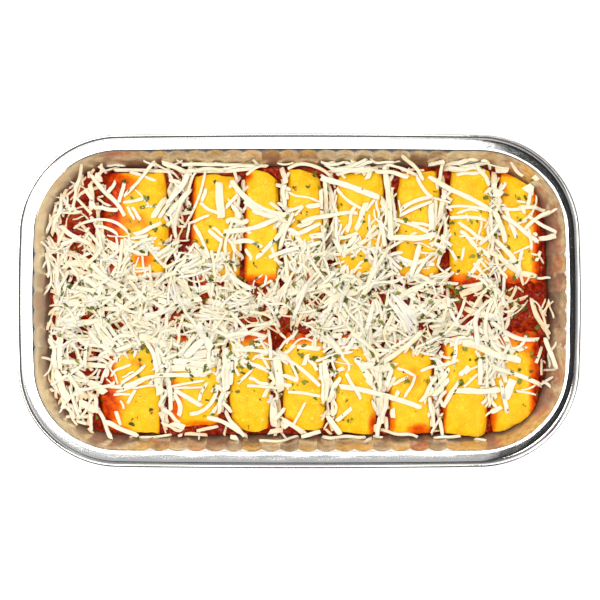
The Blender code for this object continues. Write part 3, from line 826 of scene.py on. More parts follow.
def make_sauce():
    """One closed body from the floor of the tray up to its lumpy surface."""
    limit = HALF_LENGTH - float(wall_inset(SAUCE_LEVEL)) - 0.9
    turn = np.linspace(-1.0, 1.0, 300)
    x = limit * np.sin(turn * pi / 2 * 0.9) / np.sin(pi / 2 * 0.9)
    rows = np.linspace(-1.0, 1.0, 170)
    out = np.minimum(np.maximum(np.abs(x) - CORE_X, 0.0), limit - CORE_X)
    half = CORE_Y + np.sqrt(np.maximum((limit - CORE_X) ** 2 - out ** 2, 0.0))
    grid_x = np.repeat(x[:, None], len(rows), axis=1)
    grid_y = half[:, None] * rows[None, :]
    z = sauce_height(grid_x, grid_y)
    edge = smooth_step((inset_of(grid_x, grid_y) - float(wall_inset(SAUCE_LEVEL))) / 3.0)
    z = z - 1.2 * (1.0 - edge)
    top = press_inside(np.stack([grid_x, grid_y, z], axis=-1), 0.5)
    index = np.arange(top.shape[0] * top.shape[1]).reshape(top.shape[:2])
    rim = np.concatenate([index[:-1, 0], index[-1, :-1], index[:0:-1, -1], index[0, :0:-1]])
    points = top.reshape(-1, 3)
    skirts = []
    for depth in (0.75, 0.5, 0.25, 0.0):
        ring = points[rim].copy()
        ring[:, 2] = SAUCE_FLOOR + (ring[:, 2] - SAUCE_FLOOR) * depth
        skirts.append(press_inside(ring, 0.9))
    count = len(points)
    walls = []
    upper = rim
    for number in range(len(skirts)):
        lower = count + number * len(rim) + np.arange(len(rim))
        walls.append(np.stack([upper, lower, np.roll(lower, -1), np.roll(upper, -1)], axis=-1))
        upper = lower
    quads = grid_quads(*top.shape[:2], wrap_columns=False)[:, ::-1]
    floor = upper[None, ::-1]
    return new_piece("tomato_sauce", np.vstack([points] + skirts), [quads] + walls + [floor], [sauce_material()],
                     ["sauce"], sharp=80.0)


# ---------------------------------------------------------------- cheese

Bare = namedtuple("Bare", "left right low high keep")
# Where pasta or sauce is left uncovered; keep is the share of the scattered shreds that still cross it.
BARE = (
    Bare(-119.0, -80.0, 40.0, 79.0, 0.0), Bare(-101.0, -89.0, 21.0, 31.0, 0.1),
    Bare(-66.5, -36.0, 54.0, 78.0, 0.0), Bare(-64.0, -46.0, 31.0, 54.0, 0.0),
    Bare(-34.0, -10.0, 54.0, 82.0, 0.0), Bare(-38.0, -13.0, 12.0, 50.0, 0.05),
    Bare(-8.0, 13.5, 57.0, 82.0, 0.0), Bare(-3.0, 14.0, 40.0, 57.0, 0.0),
    Bare(22.0, 52.0, 57.0, 78.0, 0.0), Bare(24.0, 47.0, 40.0, 58.0, 0.1),
    Bare(26.0, 42.0, 19.0, 29.0, 0.1), Bare(60.0, 83.0, 56.0, 80.0, 0.0),
    Bare(60.0, 82.0, 38.0, 57.0, 0.05), Bare(61.0, 73.0, 24.0, 35.0, 0.1),
    Bare(91.0, 117.0, 57.0, 82.0, 0.0), Bare(91.0, 113.0, 40.0, 58.0, 0.05),
    Bare(88.0, 111.0, 18.0, 37.0, 0.1), Bare(120.0, 150.0, 58.0, 80.0, 0.0),
    Bare(-107.0, -84.0, -82.0, -36.0, 0.0), Bare(-123.0, -106.0, -82.0, -54.0, 0.0),
    Bare(-105.0, -85.0, -45.0, -29.0, 0.1), Bare(-77.0, -48.0, -80.0, -43.0, 0.0),
    Bare(-43.0, -15.5, -82.0, -43.0, 0.0), Bare(-38.0, -15.0, -44.0, -36.0, 0.1),
    Bare(-9.0, 15.5, -80.0, -42.0, 0.0), Bare(-6.0, 14.0, -43.0, -26.0, 0.15),
    Bare(21.0, 46.0, -82.0, -47.0, 0.0), Bare(18.0, 42.0, -48.0, -31.0, 0.1),
    Bare(54.0, 80.5, -82.0, -52.0, 0.0), Bare(57.0, 79.0, -53.0, -33.0, 0.1),
    Bare(87.0, 115.0, -82.0, -54.0, 0.0), Bare(87.0, 110.0, -55.0, -26.0, 0.05),
    Bare(115.0, 146.0, -82.0, -50.0, 0.0), Bare(127.0, 147.0, -51.0, -8.0, 0.1),
    Bare(-38.0, 2.0, -27.0, -9.0, 0.6), Bare(90.0, 108.0, 0.0, 16.0, 0.4),
    Bare(96.0, 115.0, -8.0, 6.0, 0.45), Bare(-89.0, -79.0, 15.0, 23.0, 0.4),
    Bare(-143.0, -131.0, 38.0, 52.0, 0.2), Bare(-136.0, -124.0, 54.0, 66.0, 0.4),
    Bare(144.0, 156.0, -75.0, -48.0, 0.0), Bare(122.0, 156.0, 2.0, 52.0, 0.5),
)
Strip = namedtuple("Strip", "x0 y0 x1 y1 width bow")
# The strips that lie alone on the pasta and along the walls: two ends, width, and how far the middle
# lies to the left of the straight line between them.
STRIPS = tuple(Strip(*row) for row in (
    # over the first tube of the top row and the left heap
    (-113.1, 79.9, -77.1, 78.9, 2.2, 0.3), (-102.6, 78.9, -87.0, 73.3, 2.0, 0.0),
    (-127.4, 76.5, -105.7, 51.6, 2.6, 0.6), (-116.2, 65.3, -111.3, 72.7, 2.4, 0.0),
    (-109.4, 59.7, -106.0, 72.1, 2.4, 0.0), (-87.9, 84.8, -106.3, 63.4, 2.0, 0.5),
    (-99.5, 67.7, -90.1, 56.5, 1.1, 0.4), (-95.1, 56.9, -84.5, 57.8, 1.2, 0.2),
    (-123.4, 62.1, -115.0, 57.2, 1.6, 0.0), (-125.0, 56.5, -110.0, 54.7, 2.4, 0.4),
    (-106.9, 59.7, -94.5, 62.1, 2.2, -0.3), (-104.4, 57.2, -100.1, 49.1, 1.8, 0.0),
    (-101.3, 57.2, -96.3, 49.1, 2.2, 0.0), (-137.4, 44.7, -101.9, 41.0, 1.8, 6.6),
    (-123.7, 45.4, -110.0, 39.8, 2.0, 1.5), (-130.9, 82.7, -136.8, 66.5, 2.2, 0.6),
    (-136.2, 63.4, -126.2, 52.8, 1.8, 0.0), (-126.8, 71.5, -126.2, 55.3, 3.0, 0.5),
    (-144.9, 59.7, -151.7, 40.4, 2.4, 0.6), (-149.8, 51.3, -131.8, 54.0, 1.4, 0.8),
    (-141.8, 46.0, -146.7, 34.2, 2.2, 0.0), (-144.9, 34.2, -132.4, 39.1, 2.6, -0.6),
    (-100.0, 40.4, -84.0, 48.0, 2.6, -0.6), (-102.6, 32.3, -88.9, 39.1, 2.0, 0.0),
    (-105.0, 31.0, -92.0, 27.9, 2.4, 0.0), (-117.5, 83.0, -106.3, 83.3, 1.4, 0.0),
    (-121.8, 82.0, -117.5, 77.7, 2.0, 0.4), (-118.1, 70.9, -118.0, 66.5, 1.0, 0.0),
    (-124.0, 77.0, -121.0, 72.5, 3.6, 0.5),
    # the bundle between the first two tubes
    (-88.9, 50.3, -80.8, 62.8, 3.4, 0.4), (-85.1, 50.3, -73.3, 67.7, 2.5, 0.4),
    (-80.8, 52.2, -69.0, 64.6, 3.0, 0.0), (-79.5, 57.8, -71.5, 70.2, 2.0, 0.0),
    (-83.3, 84.5, -65.2, 77.1, 3.0, 0.3), (-80.8, 80.8, -70.2, 66.5, 1.6, -1.2),
    (-74.5, 67.0, -68.0, 73.5, 2.8, 0.0), (-78.3, 52.8, -76.4, 41.6, 1.4, 0.3),
    (-79.0, 74.0, -70.5, 71.0, 2.4, 0.4), (-72.5, 60.0, -66.0, 68.5, 3.2, 0.0),
    # second and third tubes
    (-71.1, 82.7, -19.0, 82.0, 2.2, 0.8), (-68.6, 78.9, -28.2, 80.2, 2.6, -0.3),
    (-54.3, 80.8, -24.5, 82.7, 1.6, 0.0), (-56.8, 80.2, -69.9, 45.4, 1.6, 2.3),
    (-61.2, 80.8, -67.4, 67.7, 1.6, -1.0), (-56.2, 68.4, -58.7, 60.3, 2.2, 0.0),
    (-49.1, 72.1, -47.5, 50.3, 4.6, 0.2), (-60.3, 59.0, -46.9, 50.9, 2.0, 0.0),
    (-67.7, 46.3, -54.3, 51.6, 1.8, 0.3), (-63.7, 46.0, -54.3, 26.0, 2.2, 0.6),
    (-55.0, 42.9, -46.9, 36.0, 2.4, 0.0), (-52.5, 44.7, -44.4, 38.5, 1.8, 0.0),
    (-41.3, 72.7, -5.8, 51.0, 3.4, -4.6), (-33.0, 60.5, -7.7, 48.5, 3.4, -1.8),
    (-28.0, 55.0, -10.0, 50.0, 3.0, -0.6), (-45.6, 41.6, -12.0, 50.0, 3.0, -1.8),
    (-36.9, 64.6, -44.4, 56.5, 2.4, 0.0), (-33.8, 74.0, -33.2, 66.5, 1.8, 0.3),
    (-40.7, 57.8, -35.7, 50.3, 3.0, 0.6), (-44.4, 49.0, -30.0, 49.0, 3.4, -0.8),
    (-32.0, 77.0, -22.0, 83.0, 1.6, 0.6), (-27.9, 85.8, -24.5, 82.7, 1.6, 0.0),
    (-10.8, 81.4, -7.7, 71.5, 3.2, 0.3), (-8.6, 70.9, -8.3, 55.3, 2.6, -0.6),
    (-38.5, 36.3, -22.0, 33.0, 2.6, 1.6), (-10.8, 41.6, -26.4, 26.0, 2.6, 0.6),
    (-41.3, 34.2, -34.4, 24.8, 2.4, 0.0), (-32.6, 31.7, -28.8, 24.5, 2.2, 0.5),
    (-18.3, 26.7, 13.3, 35.4, 2.6, 0.6), (-12.6, 59.8, -9.4, 57.4, 2.0, 0.0),
    # fourth and fifth tubes
    (-7.0, 81.1, 19.9, 75.8, 2.2, 4.6), (-6.4, 66.5, 14.0, 60.7, 1.4, -0.4),
    (-7.0, 54.0, 2.3, 57.8, 2.0, 0.0), (-2.7, 51.6, 2.9, 57.2, 1.6, 0.0),
    (4.7, 57.2, 13.3, 58.4, 3.0, 0.0), (-0.2, 44.1, 12.8, 51.0, 3.0, 0.0),
    (-1.5, 39.8, 13.3, 47.2, 2.6, 0.0), (-7.0, 44.1, 1.0, 40.4, 2.4, 0.0),
    (6.8, 39.0, 18.6, 40.4, 3.4, 0.0), (13.6, 75.2, 49.1, 62.8, 3.8, 0.5),
    (13.0, 84.2, 24.0, 79.0, 1.6, 0.0), (24.8, 78.3, 28.6, 74.6, 1.4, 0.0),
    (16.4, 72.7, 16.1, 41.6, 2.6, 0.4), (13.3, 67.7, 14.3, 51.6, 2.4, 0.0),
    (23.0, 68.4, 37.9, 55.9, 2.0, -1.2), (52.2, 82.0, 55.9, 36.6, 3.5, 1.0),
    (41.0, 86.4, 24.8, 79.6, 1.8, 0.8), (41.6, 74.0, 44.1, 82.0, 3.0, -0.4),
    (19.9, 78.9, 48.5, 79.6, 3.2, 0.0), (23.0, 77.2, 40.0, 80.8, 2.2, 0.0),
    (46.6, 79.6, 67.1, 75.8, 2.8, 0.8), (41.0, 59.7, 34.8, 42.9, 3.2, 0.3),
    (46.0, 61.5, 41.0, 54.7, 1.8, 0.0), (46.6, 60.9, 48.5, 50.3, 1.6, 0.4),
    (1.2, 46.0, 36.0, 52.2, 2.6, 2.6), (34.2, 57.8, 29.8, 41.6, 2.2, -0.5),
    (23.0, 49.7, 23.0, 37.9, 1.6, 0.0), (24.8, 37.9, 36.0, 41.0, 2.6, -0.4),
    (21.7, 37.9, 26.0, 29.2, 2.8, 0.0), (34.2, 39.8, 26.0, 27.3, 2.8, 0.0),
    (46.6, 46.0, 41.0, 37.9, 2.4, 0.0), (49.7, 49.0, 52.8, 33.0, 3.0, 0.0),
    # sixth to eighth tubes
    (54.0, 83.0, 72.7, 75.8, 2.0, 1.0), (72.7, 75.8, 82.0, 62.8, 2.2, -1.8),
    (82.0, 62.8, 92.6, 59.7, 1.6, 0.0), (62.5, 88.0, 76.5, 73.6, 2.2, 1.4),
    (88.3, 85.2, 85.8, 70.9, 2.0, -0.4), (78.8, 75.2, 117.9, 54.0, 3.0, 0.4),
    (62.2, 54.7, 80.2, 62.5, 2.4, 2.0), (61.5, 51.6, 81.4, 60.3, 2.2, 0.6),
    (60.9, 61.5, 62.5, 52.2, 1.2, 0.0), (80.8, 59.0, 80.8, 42.9, 3.4, 0.0),
    (57.2, 49.7, 79.0, 41.6, 2.2, 0.8), (68.4, 47.8, 79.6, 46.0, 2.0, 0.0),
    (56.6, 37.9, 83.9, 39.8, 3.6, -0.8), (108.0, 84.2, 116.7, 70.2, 2.4, 0.0),
    (111.0, 85.5, 117.3, 80.2, 1.8, 1.6), (102.4, 85.5, 109.2, 85.2, 1.8, 0.5),
    (79.4, 83.3, 88.7, 84.5, 2.8, 0.0), (89.3, 82.7, 103.0, 85.2, 3.0, 0.0),
    (88.7, 80.8, 101.1, 79.9, 2.8, 0.3), (119.8, 78.9, 119.2, 67.7, 3.4, 0.0),
    (114.2, 67.1, 124.2, 64.6, 4.6, 0.0), (120.4, 80.2, 127.9, 79.6, 4.0, 0.0),
    (128.5, 83.9, 136.6, 75.8, 2.0, -0.8), (142.4, 75.6, 145.6, 73.4, 4.4, 0.0),
    (138.4, 70.0, 143.0, 66.4, 5.4, 0.0), (141.2, 66.0, 139.6, 57.7, 2.6, 0.0),
    (132.9, 60.9, 138.5, 59.7, 1.6, 0.0), (134.1, 57.8, 150.3, 55.3, 2.2, 0.4),
    (156.4, 55.5, 142.8, 48.5, 1.8, 0.0), (139.7, 51.0, 156.0, 41.0, 2.2, 0.0),
    (146.6, 37.3, 155.9, 39.1, 3.2, 0.0), (135.4, 57.8, 137.8, 52.8, 2.2, 0.0),
    (90.0, 56.5, 114.2, 54.7, 1.8, 1.8), (96.2, 52.8, 109.2, 54.7, 1.6, 1.5),
    (92.4, 50.3, 114.2, 49.0, 2.2, 1.2), (98.0, 48.5, 114.2, 37.3, 2.2, -1.4),
    (97.4, 41.6, 115.5, 25.4, 2.6, 0.5), (119.2, 54.0, 126.0, 35.4, 3.4, 0.5),
    (124.2, 52.2, 146.0, 36.0, 2.8, 0.0), (109.8, 34.2, 121.7, 46.6, 2.2, -0.8),
    (80.0, 35.4, 89.3, 32.3, 2.6, 0.0), (93.0, 30.4, 96.2, 24.5, 2.0, 0.0),
    (100.5, 32.3, 99.3, 24.5, 1.8, 0.0),
    # first and second tubes of the bottom row and the lower left corner
    (-121.8, -34.4, -111.9, -27.5, 2.0, 0.0), (-111.9, -30.6, -101.6, -27.2, 2.8, 0.0),
    (-97.0, -25.0, -100.4, -34.4, 2.0, 0.0), (-92.6, -22.5, -85.1, -43.0, 3.0, 0.5),
    (-87.6, -25.0, -79.5, -40.6, 2.0, 0.4), (-114.4, -46.2, -101.9, -39.3, 1.6, 1.6),
    (-93.2, -39.3, -108.2, -50.5, 2.0, 0.5), (-100.0, -42.8, -107.5, -46.8, 1.2, 0.0),
    (-117.5, -53.0, -84.0, -45.0, 2.4, -1.2), (-86.4, -45.6, -56.0, -45.6, 2.8, 0.3),
    (-111.0, -56.0, -93.9, -48.7, 1.6, -0.5), (-101.3, -53.6, -86.4, -51.8, 1.4, 0.6),
    (-99.5, -54.3, -104.4, -62.4, 2.0, 0.0), (-112.5, -56.8, -102.6, -56.8, 1.8, 0.0),
    (-108.8, -61.0, -106.6, -66.0, 1.4, 0.6), (-111.3, -67.3, -108.5, -76.0, 2.4, 0.0),
    (-125.0, -61.1, -113.8, -84.1, 2.6, 0.4), (-118.7, -74.2, -98.2, -83.5, 3.0, 0.5),
    (-97.6, -83.5, -77.7, -81.9, 1.6, -0.6), (-148.0, -43.0, -139.9, -61.1, 4.4, -0.5),
    (-149.2, -42.4, -145.5, -56.8, 1.2, -1.4), (-143.6, -42.4, -129.3, -59.9, 2.6, 0.5),
    (-151.1, -22.5, -147.3, -41.2, 3.0, 0.6), (-144.9, -21.3, -145.5, -41.8, 3.4, 0.0),
    (-143.6, -36.9, -116.9, -40.0, 3.0, 0.0), (-144.4, -64.0, -141.6, -64.4, 3.0, 0.0),
    (-139.9, -63.6, -132.4, -68.0, 2.0, 0.0), (-133.7, -61.7, -122.5, -67.3, 4.4, 0.0),
    (-126.8, -68.6, -126.2, -79.1, 2.0, 0.0), (-135.5, -70.4, -128.0, -71.0, 2.0, 0.0),
    (-134.9, -73.5, -129.3, -74.8, 2.0, 0.0), (-124.3, -56.8, -122.5, -68.6, 2.4, 0.0),
    (-127.4, -49.3, -117.5, -56.0, 4.8, 0.0), (-85.8, -46.8, -84.5, -57.4, 4.4, 0.0),
    (-80.8, -56.0, -85.8, -64.2, 1.8, 0.0), (-78.9, -51.2, -78.3, -67.3, 2.6, 0.5),
    (-76.4, -56.0, -72.7, -70.4, 2.8, 2.0), (-82.7, -65.5, -72.0, -74.8, 2.4, 0.0),
    (-83.3, -73.0, -70.2, -78.0, 2.0, -2.0), (-77.7, -74.8, -69.6, -77.3, 3.4, 0.0),
    (-75.4, -54.5, -59.3, -64.2, 2.8, 0.0), (-77.4, -52.4, -57.5, -48.7, 1.6, 0.3),
    (-76.1, -53.6, -57.5, -53.0, 1.4, 0.3), (-76.7, -36.9, -51.9, -40.0, 4.4, 0.0),
    (-77.3, -40.6, -53.1, -43.0, 3.6, 0.0), (-66.2, -69.8, -49.4, -51.2, 2.4, -4.6),
    (-55.6, -49.9, -60.6, -61.1, 2.0, -0.8), (-62.4, -79.5, -49.4, -76.7, 2.0, 0.0),
    # third and fourth tubes
    (-55.9, -71.0, -31.3, -83.5, 2.6, 1.5), (-45.6, -67.3, -33.0, -83.0, 2.4, -0.5),
    (-46.3, -61.7, -40.7, -68.0, 2.2, 0.0), (-49.4, -51.2, -43.1, -58.6, 2.6, 0.0),
    (-46.9, -56.0, -49.4, -69.2, 2.8, 0.0), (-44.4, -28.8, -44.4, -54.9, 4.6, 0.6),
    (-40.7, -32.5, -41.3, -51.2, 2.6, 0.0), (-39.4, -33.7, -36.9, -46.2, 1.8, 0.0),
    (-38.2, -34.4, -31.3, -40.6, 1.8, 0.0), (-39.4, -30.0, -18.3, -31.3, 2.2, 0.6),
    (-34.4, -36.2, -15.8, -44.3, 2.6, 0.4), (-27.6, -41.2, -36.9, -50.5, 1.8, 0.0),
    (-30.7, -47.4, -18.3, -51.8, 2.2, 0.0), (-31.3, -51.8, -11.4, -53.6, 1.8, 0.3),
    (-23.2, -32.5, -13.9, -51.2, 2.0, 0.4), (-13.9, -30.6, 13.3, -51.8, 2.4, 0.8),
    (-13.9, -33.7, -10.8, -55.5, 4.8, 0.4), (-9.6, -45.0, -0.2, -48.7, 3.0, 0.0),
    (-6.5, -33.7, -0.2, -48.0, 1.6, 0.0), (-6.5, -55.5, 14.9, -58.6, 2.0, 0.6),
    (4.1, -62.0, -3.3, -76.0, 1.6, 0.0), (-15.8, -64.8, -15.2, -77.3, 4.4, 0.0),
    (-8.3, -65.5, -14.5, -72.9, 2.4, 0.0), (-10.8, -74.8, -7.0, -77.3, 4.0, 0.0),
    (-10.2, -72.3, 4.1, -81.6, 3.0, 0.4), (-23.9, -86.0, -0.2, -83.5, 1.6, -0.8),
    (-18.3, -80.4, -9.6, -79.1, 3.0, 0.0), (-41.8, -83.2, -37.2, -84.0, 3.2, 0.0),
    (1.6, -83.5, 13.3, -79.8, 2.6, 0.0), (5.4, -32.5, 2.9, -39.3, 2.8, 0.0),
    (-0.9, -28.0, 13.3, -29.4, 3.0, 0.0), (5.4, -33.7, 11.6, -42.4, 2.4, 0.0),
    # fifth and sixth tubes
    (16.8, -36.2, 16.8, -61.1, 3.8, 0.4), (13.6, -38.0, 15.5, -61.0, 2.0, 0.0),
    (9.9, -36.5, 32.9, -30.6, 1.8, 0.6), (21.1, -54.3, 23.0, -70.4, 1.8, 0.0),
    (24.8, -46.2, 17.4, -61.7, 3.0, 0.0), (24.8, -52.4, 74.6, -65.5, 3.2, 1.8),
    (28.6, -44.3, 37.9, -59.9, 2.2, 0.0), (26.0, -33.7, 31.0, -43.0, 1.8, 1.5),
    (34.8, -34.4, 44.7, -49.3, 4.4, 0.0), (44.7, -35.0, 50.3, -52.4, 2.6, 0.0),
    (48.5, -35.6, 51.0, -53.6, 2.4, 0.0), (52.8, -35.6, 52.2, -52.4, 2.4, 0.0),
    (57.2, -40.0, 53.4, -52.4, 3.0, 0.0), (66.5, -46.2, 57.2, -51.2, 1.8, 0.0),
    (60.3, -40.6, 71.5, -45.6, 2.0, 0.0), (71.5, -45.6, 64.6, -59.2, 1.8, 0.4),
    (60.9, -54.9, 58.4, -59.9, 2.4, 0.0), (32.3, -65.5, 23.0, -73.5, 2.6, 0.0),
    (44.1, -61.1, 49.1, -71.0, 2.2, 0.3), (50.3, -58.6, 49.7, -71.0, 4.8, 0.0),
    (49.7, -70.4, 47.8, -82.9, 2.8, 0.0), (53.4, -71.0, 54.0, -79.1, 2.6, 0.0),
    (57.2, -65.5, 57.2, -71.7, 3.2, 0.0), (17.4, -70.4, 25.5, -81.6, 3.6, 0.0),
    (14.3, -82.3, 41.0, -82.3, 2.0, -0.8), (49.7, -80.4, 72.7, -84.1, 2.0, 0.6),
    (39.8, -86.0, 44.7, -84.0, 2.0, 0.0), (75.2, -62.4, 82.0, -52.4, 2.4, 0.0),
    (80.8, -58.6, 82.7, -77.3, 2.4, 0.4), (84.4, -66.0, 88.1, -82.3, 2.4, 0.3),
    (81.2, -81.0, 88.0, -68.6, 1.6, 0.0), (80.0, -61.0, 83.1, -77.3, 2.0, 0.0),
    # seventh and eighth tubes and the right wall
    (99.3, -26.3, 134.7, -38.1, 4.0, 0.4), (94.9, -54.9, 122.9, -54.3, 3.6, -0.6),
    (117.9, -40.6, 148.4, -51.8, 2.8, 1.0), (130.4, -48.0, 125.4, -59.9, 5.4, 0.0),
    (122.3, -48.7, 126.6, -68.6, 2.6, 0.4), (117.3, -68.0, 123.5, -64.8, 3.2, 0.0),
    (115.4, -56.8, 116.7, -64.2, 1.8, 0.0), (132.2, -54.9, 144.7, -57.4, 1.4, 0.3),
    (135.4, -54.3, 144.1, -51.2, 1.2, -0.8), (147.8, -51.2, 154.6, -46.2, 1.6, 0.0),
    (149.0, -48.7, 153.4, -52.4, 1.8, 0.0), (150.3, -22.5, 156.4, -41.2, 2.8, 0.0),
    (149.0, -28.1, 144.7, -38.1, 2.0, 0.0), (149.7, -42.4, 156.0, -41.2, 1.4, -0.4),
    (148.4, -35.6, 148.4, -45.6, 1.6, 0.0), (129.1, -29.1, 138.5, -21.3, 1.8, -2.6),
    (128.5, -26.9, 123.5, -33.7, 2.4, 0.0), (96.8, -22.5, 94.3, -39.3, 2.4, 0.0),
    (86.8, -33.7, 92.4, -34.7, 1.8, -0.5), (103.6, -40.0, 98.0, -45.6, 2.8, 0.0),
    (109.9, -39.3, 101.1, -44.3, 1.4, -0.5), (109.2, -44.3, 100.5, -52.4, 1.6, 0.0),
    (110.5, -35.0, 110.5, -51.2, 3.0, 0.0), (91.8, -41.2, 85.6, -51.2, 2.8, 0.0),
    (91.8, -48.0, 82.5, -58.6, 3.0, 0.0), (97.4, -48.7, 87.5, -64.8, 2.6, 0.0),
    (74.4, -61.7, 83.7, -46.2, 2.4, 0.0), (82.5, -83.8, 98.7, -82.6, 1.8, 0.0),
    (107.4, -84.1, 114.2, -85.0, 1.6, 0.0),
))
BED_STEP = 0.6
WALL_REST = 33.0                # highest place on the wall where a strip's end rests
HEAP_TOP = 38.6                 # highest place of any strip
FLAKE_RIM = 8                   # corners of a scrap of parsley
SHRED_STEP = 1.9
SECTION = np.array([[-0.46, -0.5], [-0.5, 0.22], [-0.36, 0.5], [0.38, 0.48], [0.5, 0.18], [0.45, -0.5]])


class Bed:
    """Height of whatever lies uppermost so far, on a square grid."""

    def __init__(self, shapes):
        self.low = np.array([-HALF_LENGTH, -HALF_WIDTH])
        count = (np.array([2 * HALF_LENGTH, 2 * HALF_WIDTH]) / BED_STEP).astype(int) + 1
        x = self.low[0] + BED_STEP * np.arange(count[0])[:, None] + np.zeros(count)
        y = self.low[1] + BED_STEP * np.arange(count[1])[None, :] + np.zeros(count)
        sauce = sauce_height(x, y)
        height = sauce
        for shape in shapes:
            height = np.maximum(height, shape.top(x, y))
        inset = inset_of(x, y)
        wall = RIM - LEDGE_DROP - (inset - WALL_INSET) / tan(WALL_DRAFT)
        self.height = np.maximum(height, np.clip(wall, 0.0, WALL_REST))
        self.sauce = sauce
        self.inset = inset

    def cells(self, x, y):
        i = np.clip(((x - self.low[0]) / BED_STEP + 0.5).astype(int), 0, self.height.shape[0] - 1)
        j = np.clip(((y - self.low[1]) / BED_STEP + 0.5).astype(int), 0, self.height.shape[1] - 1)
        return i, j

    def at(self, x, y):
        return self.height[self.cells(x, y)]

    def raise_to(self, x, y, z):
        np.maximum.at(self.height, self.cells(x, y), z)


class Shreds:
    """Strips of grated cheese laid one after another, each resting on what is there already."""

    def __init__(self, bed, seed):
        self.bed = bed
        self.kinds = {}
        self.rng = np.random.default_rng(seed)

    def lay(self, kind, x, y, angle, length, width, thick, bend, tone):
        count = max(4, int(length / SHRED_STEP) + 2)
        s = np.linspace(-0.5, 0.5, count) * length
        curl = self.rng.normal(0.0, 0.20) * min(1.0, 16.0 / length)
        heading = angle + bend * s / 10.0 + curl * np.sin(8.0 * s / length + self.rng.uniform(0, 2 * pi))
        step_x, step_y = np.cos(heading), np.sin(heading)
        gap = length / (count - 1)
        px = np.concatenate([[0.0], np.cumsum((step_x[1:] + step_x[:-1]) / 2 * gap)])
        py = np.concatenate([[0.0], np.cumsum((step_y[1:] + step_y[:-1]) / 2 * gap)])
        px += x - np.interp(0.0, s, px)
        py += y - np.interp(0.0, s, py)
        side_x, side_y = -step_y, step_x
        reach = 0.42 * width
        left = self.bed.at(px + side_x * reach, py + side_y * reach)
        right = self.bed.at(px - side_x * reach, py - side_y * reach)
        under = np.maximum(self.bed.at(px, py), 0.5 * (left + right))
        z = under.copy()
        sag = 0.09
        for _ in range(40):
            z[1:-1] = np.maximum(under[1:-1], (z[:-2] + z[2:]) / 2 - sag)
            z[0] = max(under[0], min(2 * z[1] - z[2] - 3 * sag, z[1] + 0.35 * gap))
            z[-1] = max(under[-1], min(2 * z[-2] - z[-3] - 3 * sag, z[-2] + 0.35 * gap))
        tilt = np.clip((left - right) / (2 * reach), -0.35, 0.35)
        tilt = np.convolve(np.pad(tilt, 1, mode="edge"), (0.3, 0.4, 0.3), mode="valid")
        z = np.minimum(z + thick / 2, HEAP_TOP - thick / 2)
        ragged = self.rng.normal(0.0, 0.10, count)
        ragged = np.convolve(np.pad(ragged, 1, mode="edge"), (0.25, 0.5, 0.25), mode="valid")
        taper = 1.0 + ragged
        taper[[0, -1]] *= self.rng.uniform(0.6, 1.0, 2)
        self.add(kind, np.stack([px, py, z], axis=-1), side_x, side_y, tilt, width * taper,
                 thick * (0.4 + 0.6 * np.minimum(taper, 1.1)), tone)
        fine = np.linspace(0, count - 1, int(length / BED_STEP) + 2)
        place = np.arange(count)
        fx, fy = np.interp(fine, place, px), np.interp(fine, place, py)
        fz, ft = np.interp(fine, place, z), np.interp(fine, place, tilt)
        sx, sy = np.interp(fine, place, side_x), np.interp(fine, place, side_y)
        for share in (-0.42, -0.2, 0.0, 0.2, 0.42):
            across = share * width
            self.bed.raise_to(fx + sx * across, fy + sy * across, fz + ft * across + thick * 0.40)

    def add(self, kind, line, side_x, side_y, tilt, width, thick, tone):
        across = SECTION[None, :, 0] * width[:, None]
        up = SECTION[None, :, 1] * thick[:, None]
        lean = tilt[:, None]
        flat = across / np.sqrt(1 + lean ** 2)
        slant = self.rng.normal(0.0, 0.45, 2)
        line = line[:, None, :] + np.zeros((1, len(SECTION), 1))
        for end, way in ((0, slant[0]), (-1, slant[1])):
            line[end, :, 0] += side_y[end] * across[end] * way
            line[end, :, 1] -= side_x[end] * across[end] * way
        points = np.stack([
            line[..., 0] + side_x[:, None] * (flat - up * lean),
            line[..., 1] + side_y[:, None] * (flat - up * lean),
            np.minimum(line[..., 2] + flat * lean + up, HEAP_TOP),
        ], axis=-1)
        middle = line.mean(axis=1)
        height = self.bed.sauce[self.bed.cells(middle[:, 0], middle[:, 1])]
        wet = np.clip(1.0 - (middle[:, 2] - height - 0.9) / 1.6, 0.0, 1.0)
        self.kinds.setdefault(kind, []).append((points, tone, np.repeat(wet, len(SECTION))))

    def make(self, material):
        for kind, strips in self.kinds.items():
            quads, caps, tones, wets, start = [], [], [], [], 0
            sides = len(SECTION)
            for points, tone, wet in strips:
                rows = points.shape[0]
                quads.append(grid_quads(rows, sides)[:, ::-1] + start)
                cap = start + np.arange(sides)
                caps += [cap, cap[::-1] + (rows - 1) * sides]
                tones.append(np.full(rows * sides, tone))
                wets.append(wet)
                start += rows * sides
            flat = np.vstack([points.reshape(-1, 3) for points, _, _ in strips])
            # Painted shade: how deep each point lies under the top of the heap, which darkens the lower strips.
            depth = self.bed.at(flat[:, 0], flat[:, 1]) - flat[:, 2]
            values = {"tone": np.concatenate(tones), "stain": np.concatenate(wets),
                      "painted_depth_shade": np.clip((depth - 0.9) / 3.0, 0.0, 1.0)}
            new_piece(kind, flat, [np.vstack(quads), np.array(caps)], [material], ["cheese"],
                      values=values, sharp=38.0)


def share_kept(x, y):
    """Share of the shreds allowed at each place."""
    kept = np.ones_like(x)
    for patch in BARE:
        inside = (x > patch.left) & (x < patch.right) & (y > patch.low) & (y < patch.high)
        kept = np.where(inside, np.minimum(kept, patch.keep), kept)
    return kept


Mix = namedtuple("Mix", "share lengths widths thicks bend")
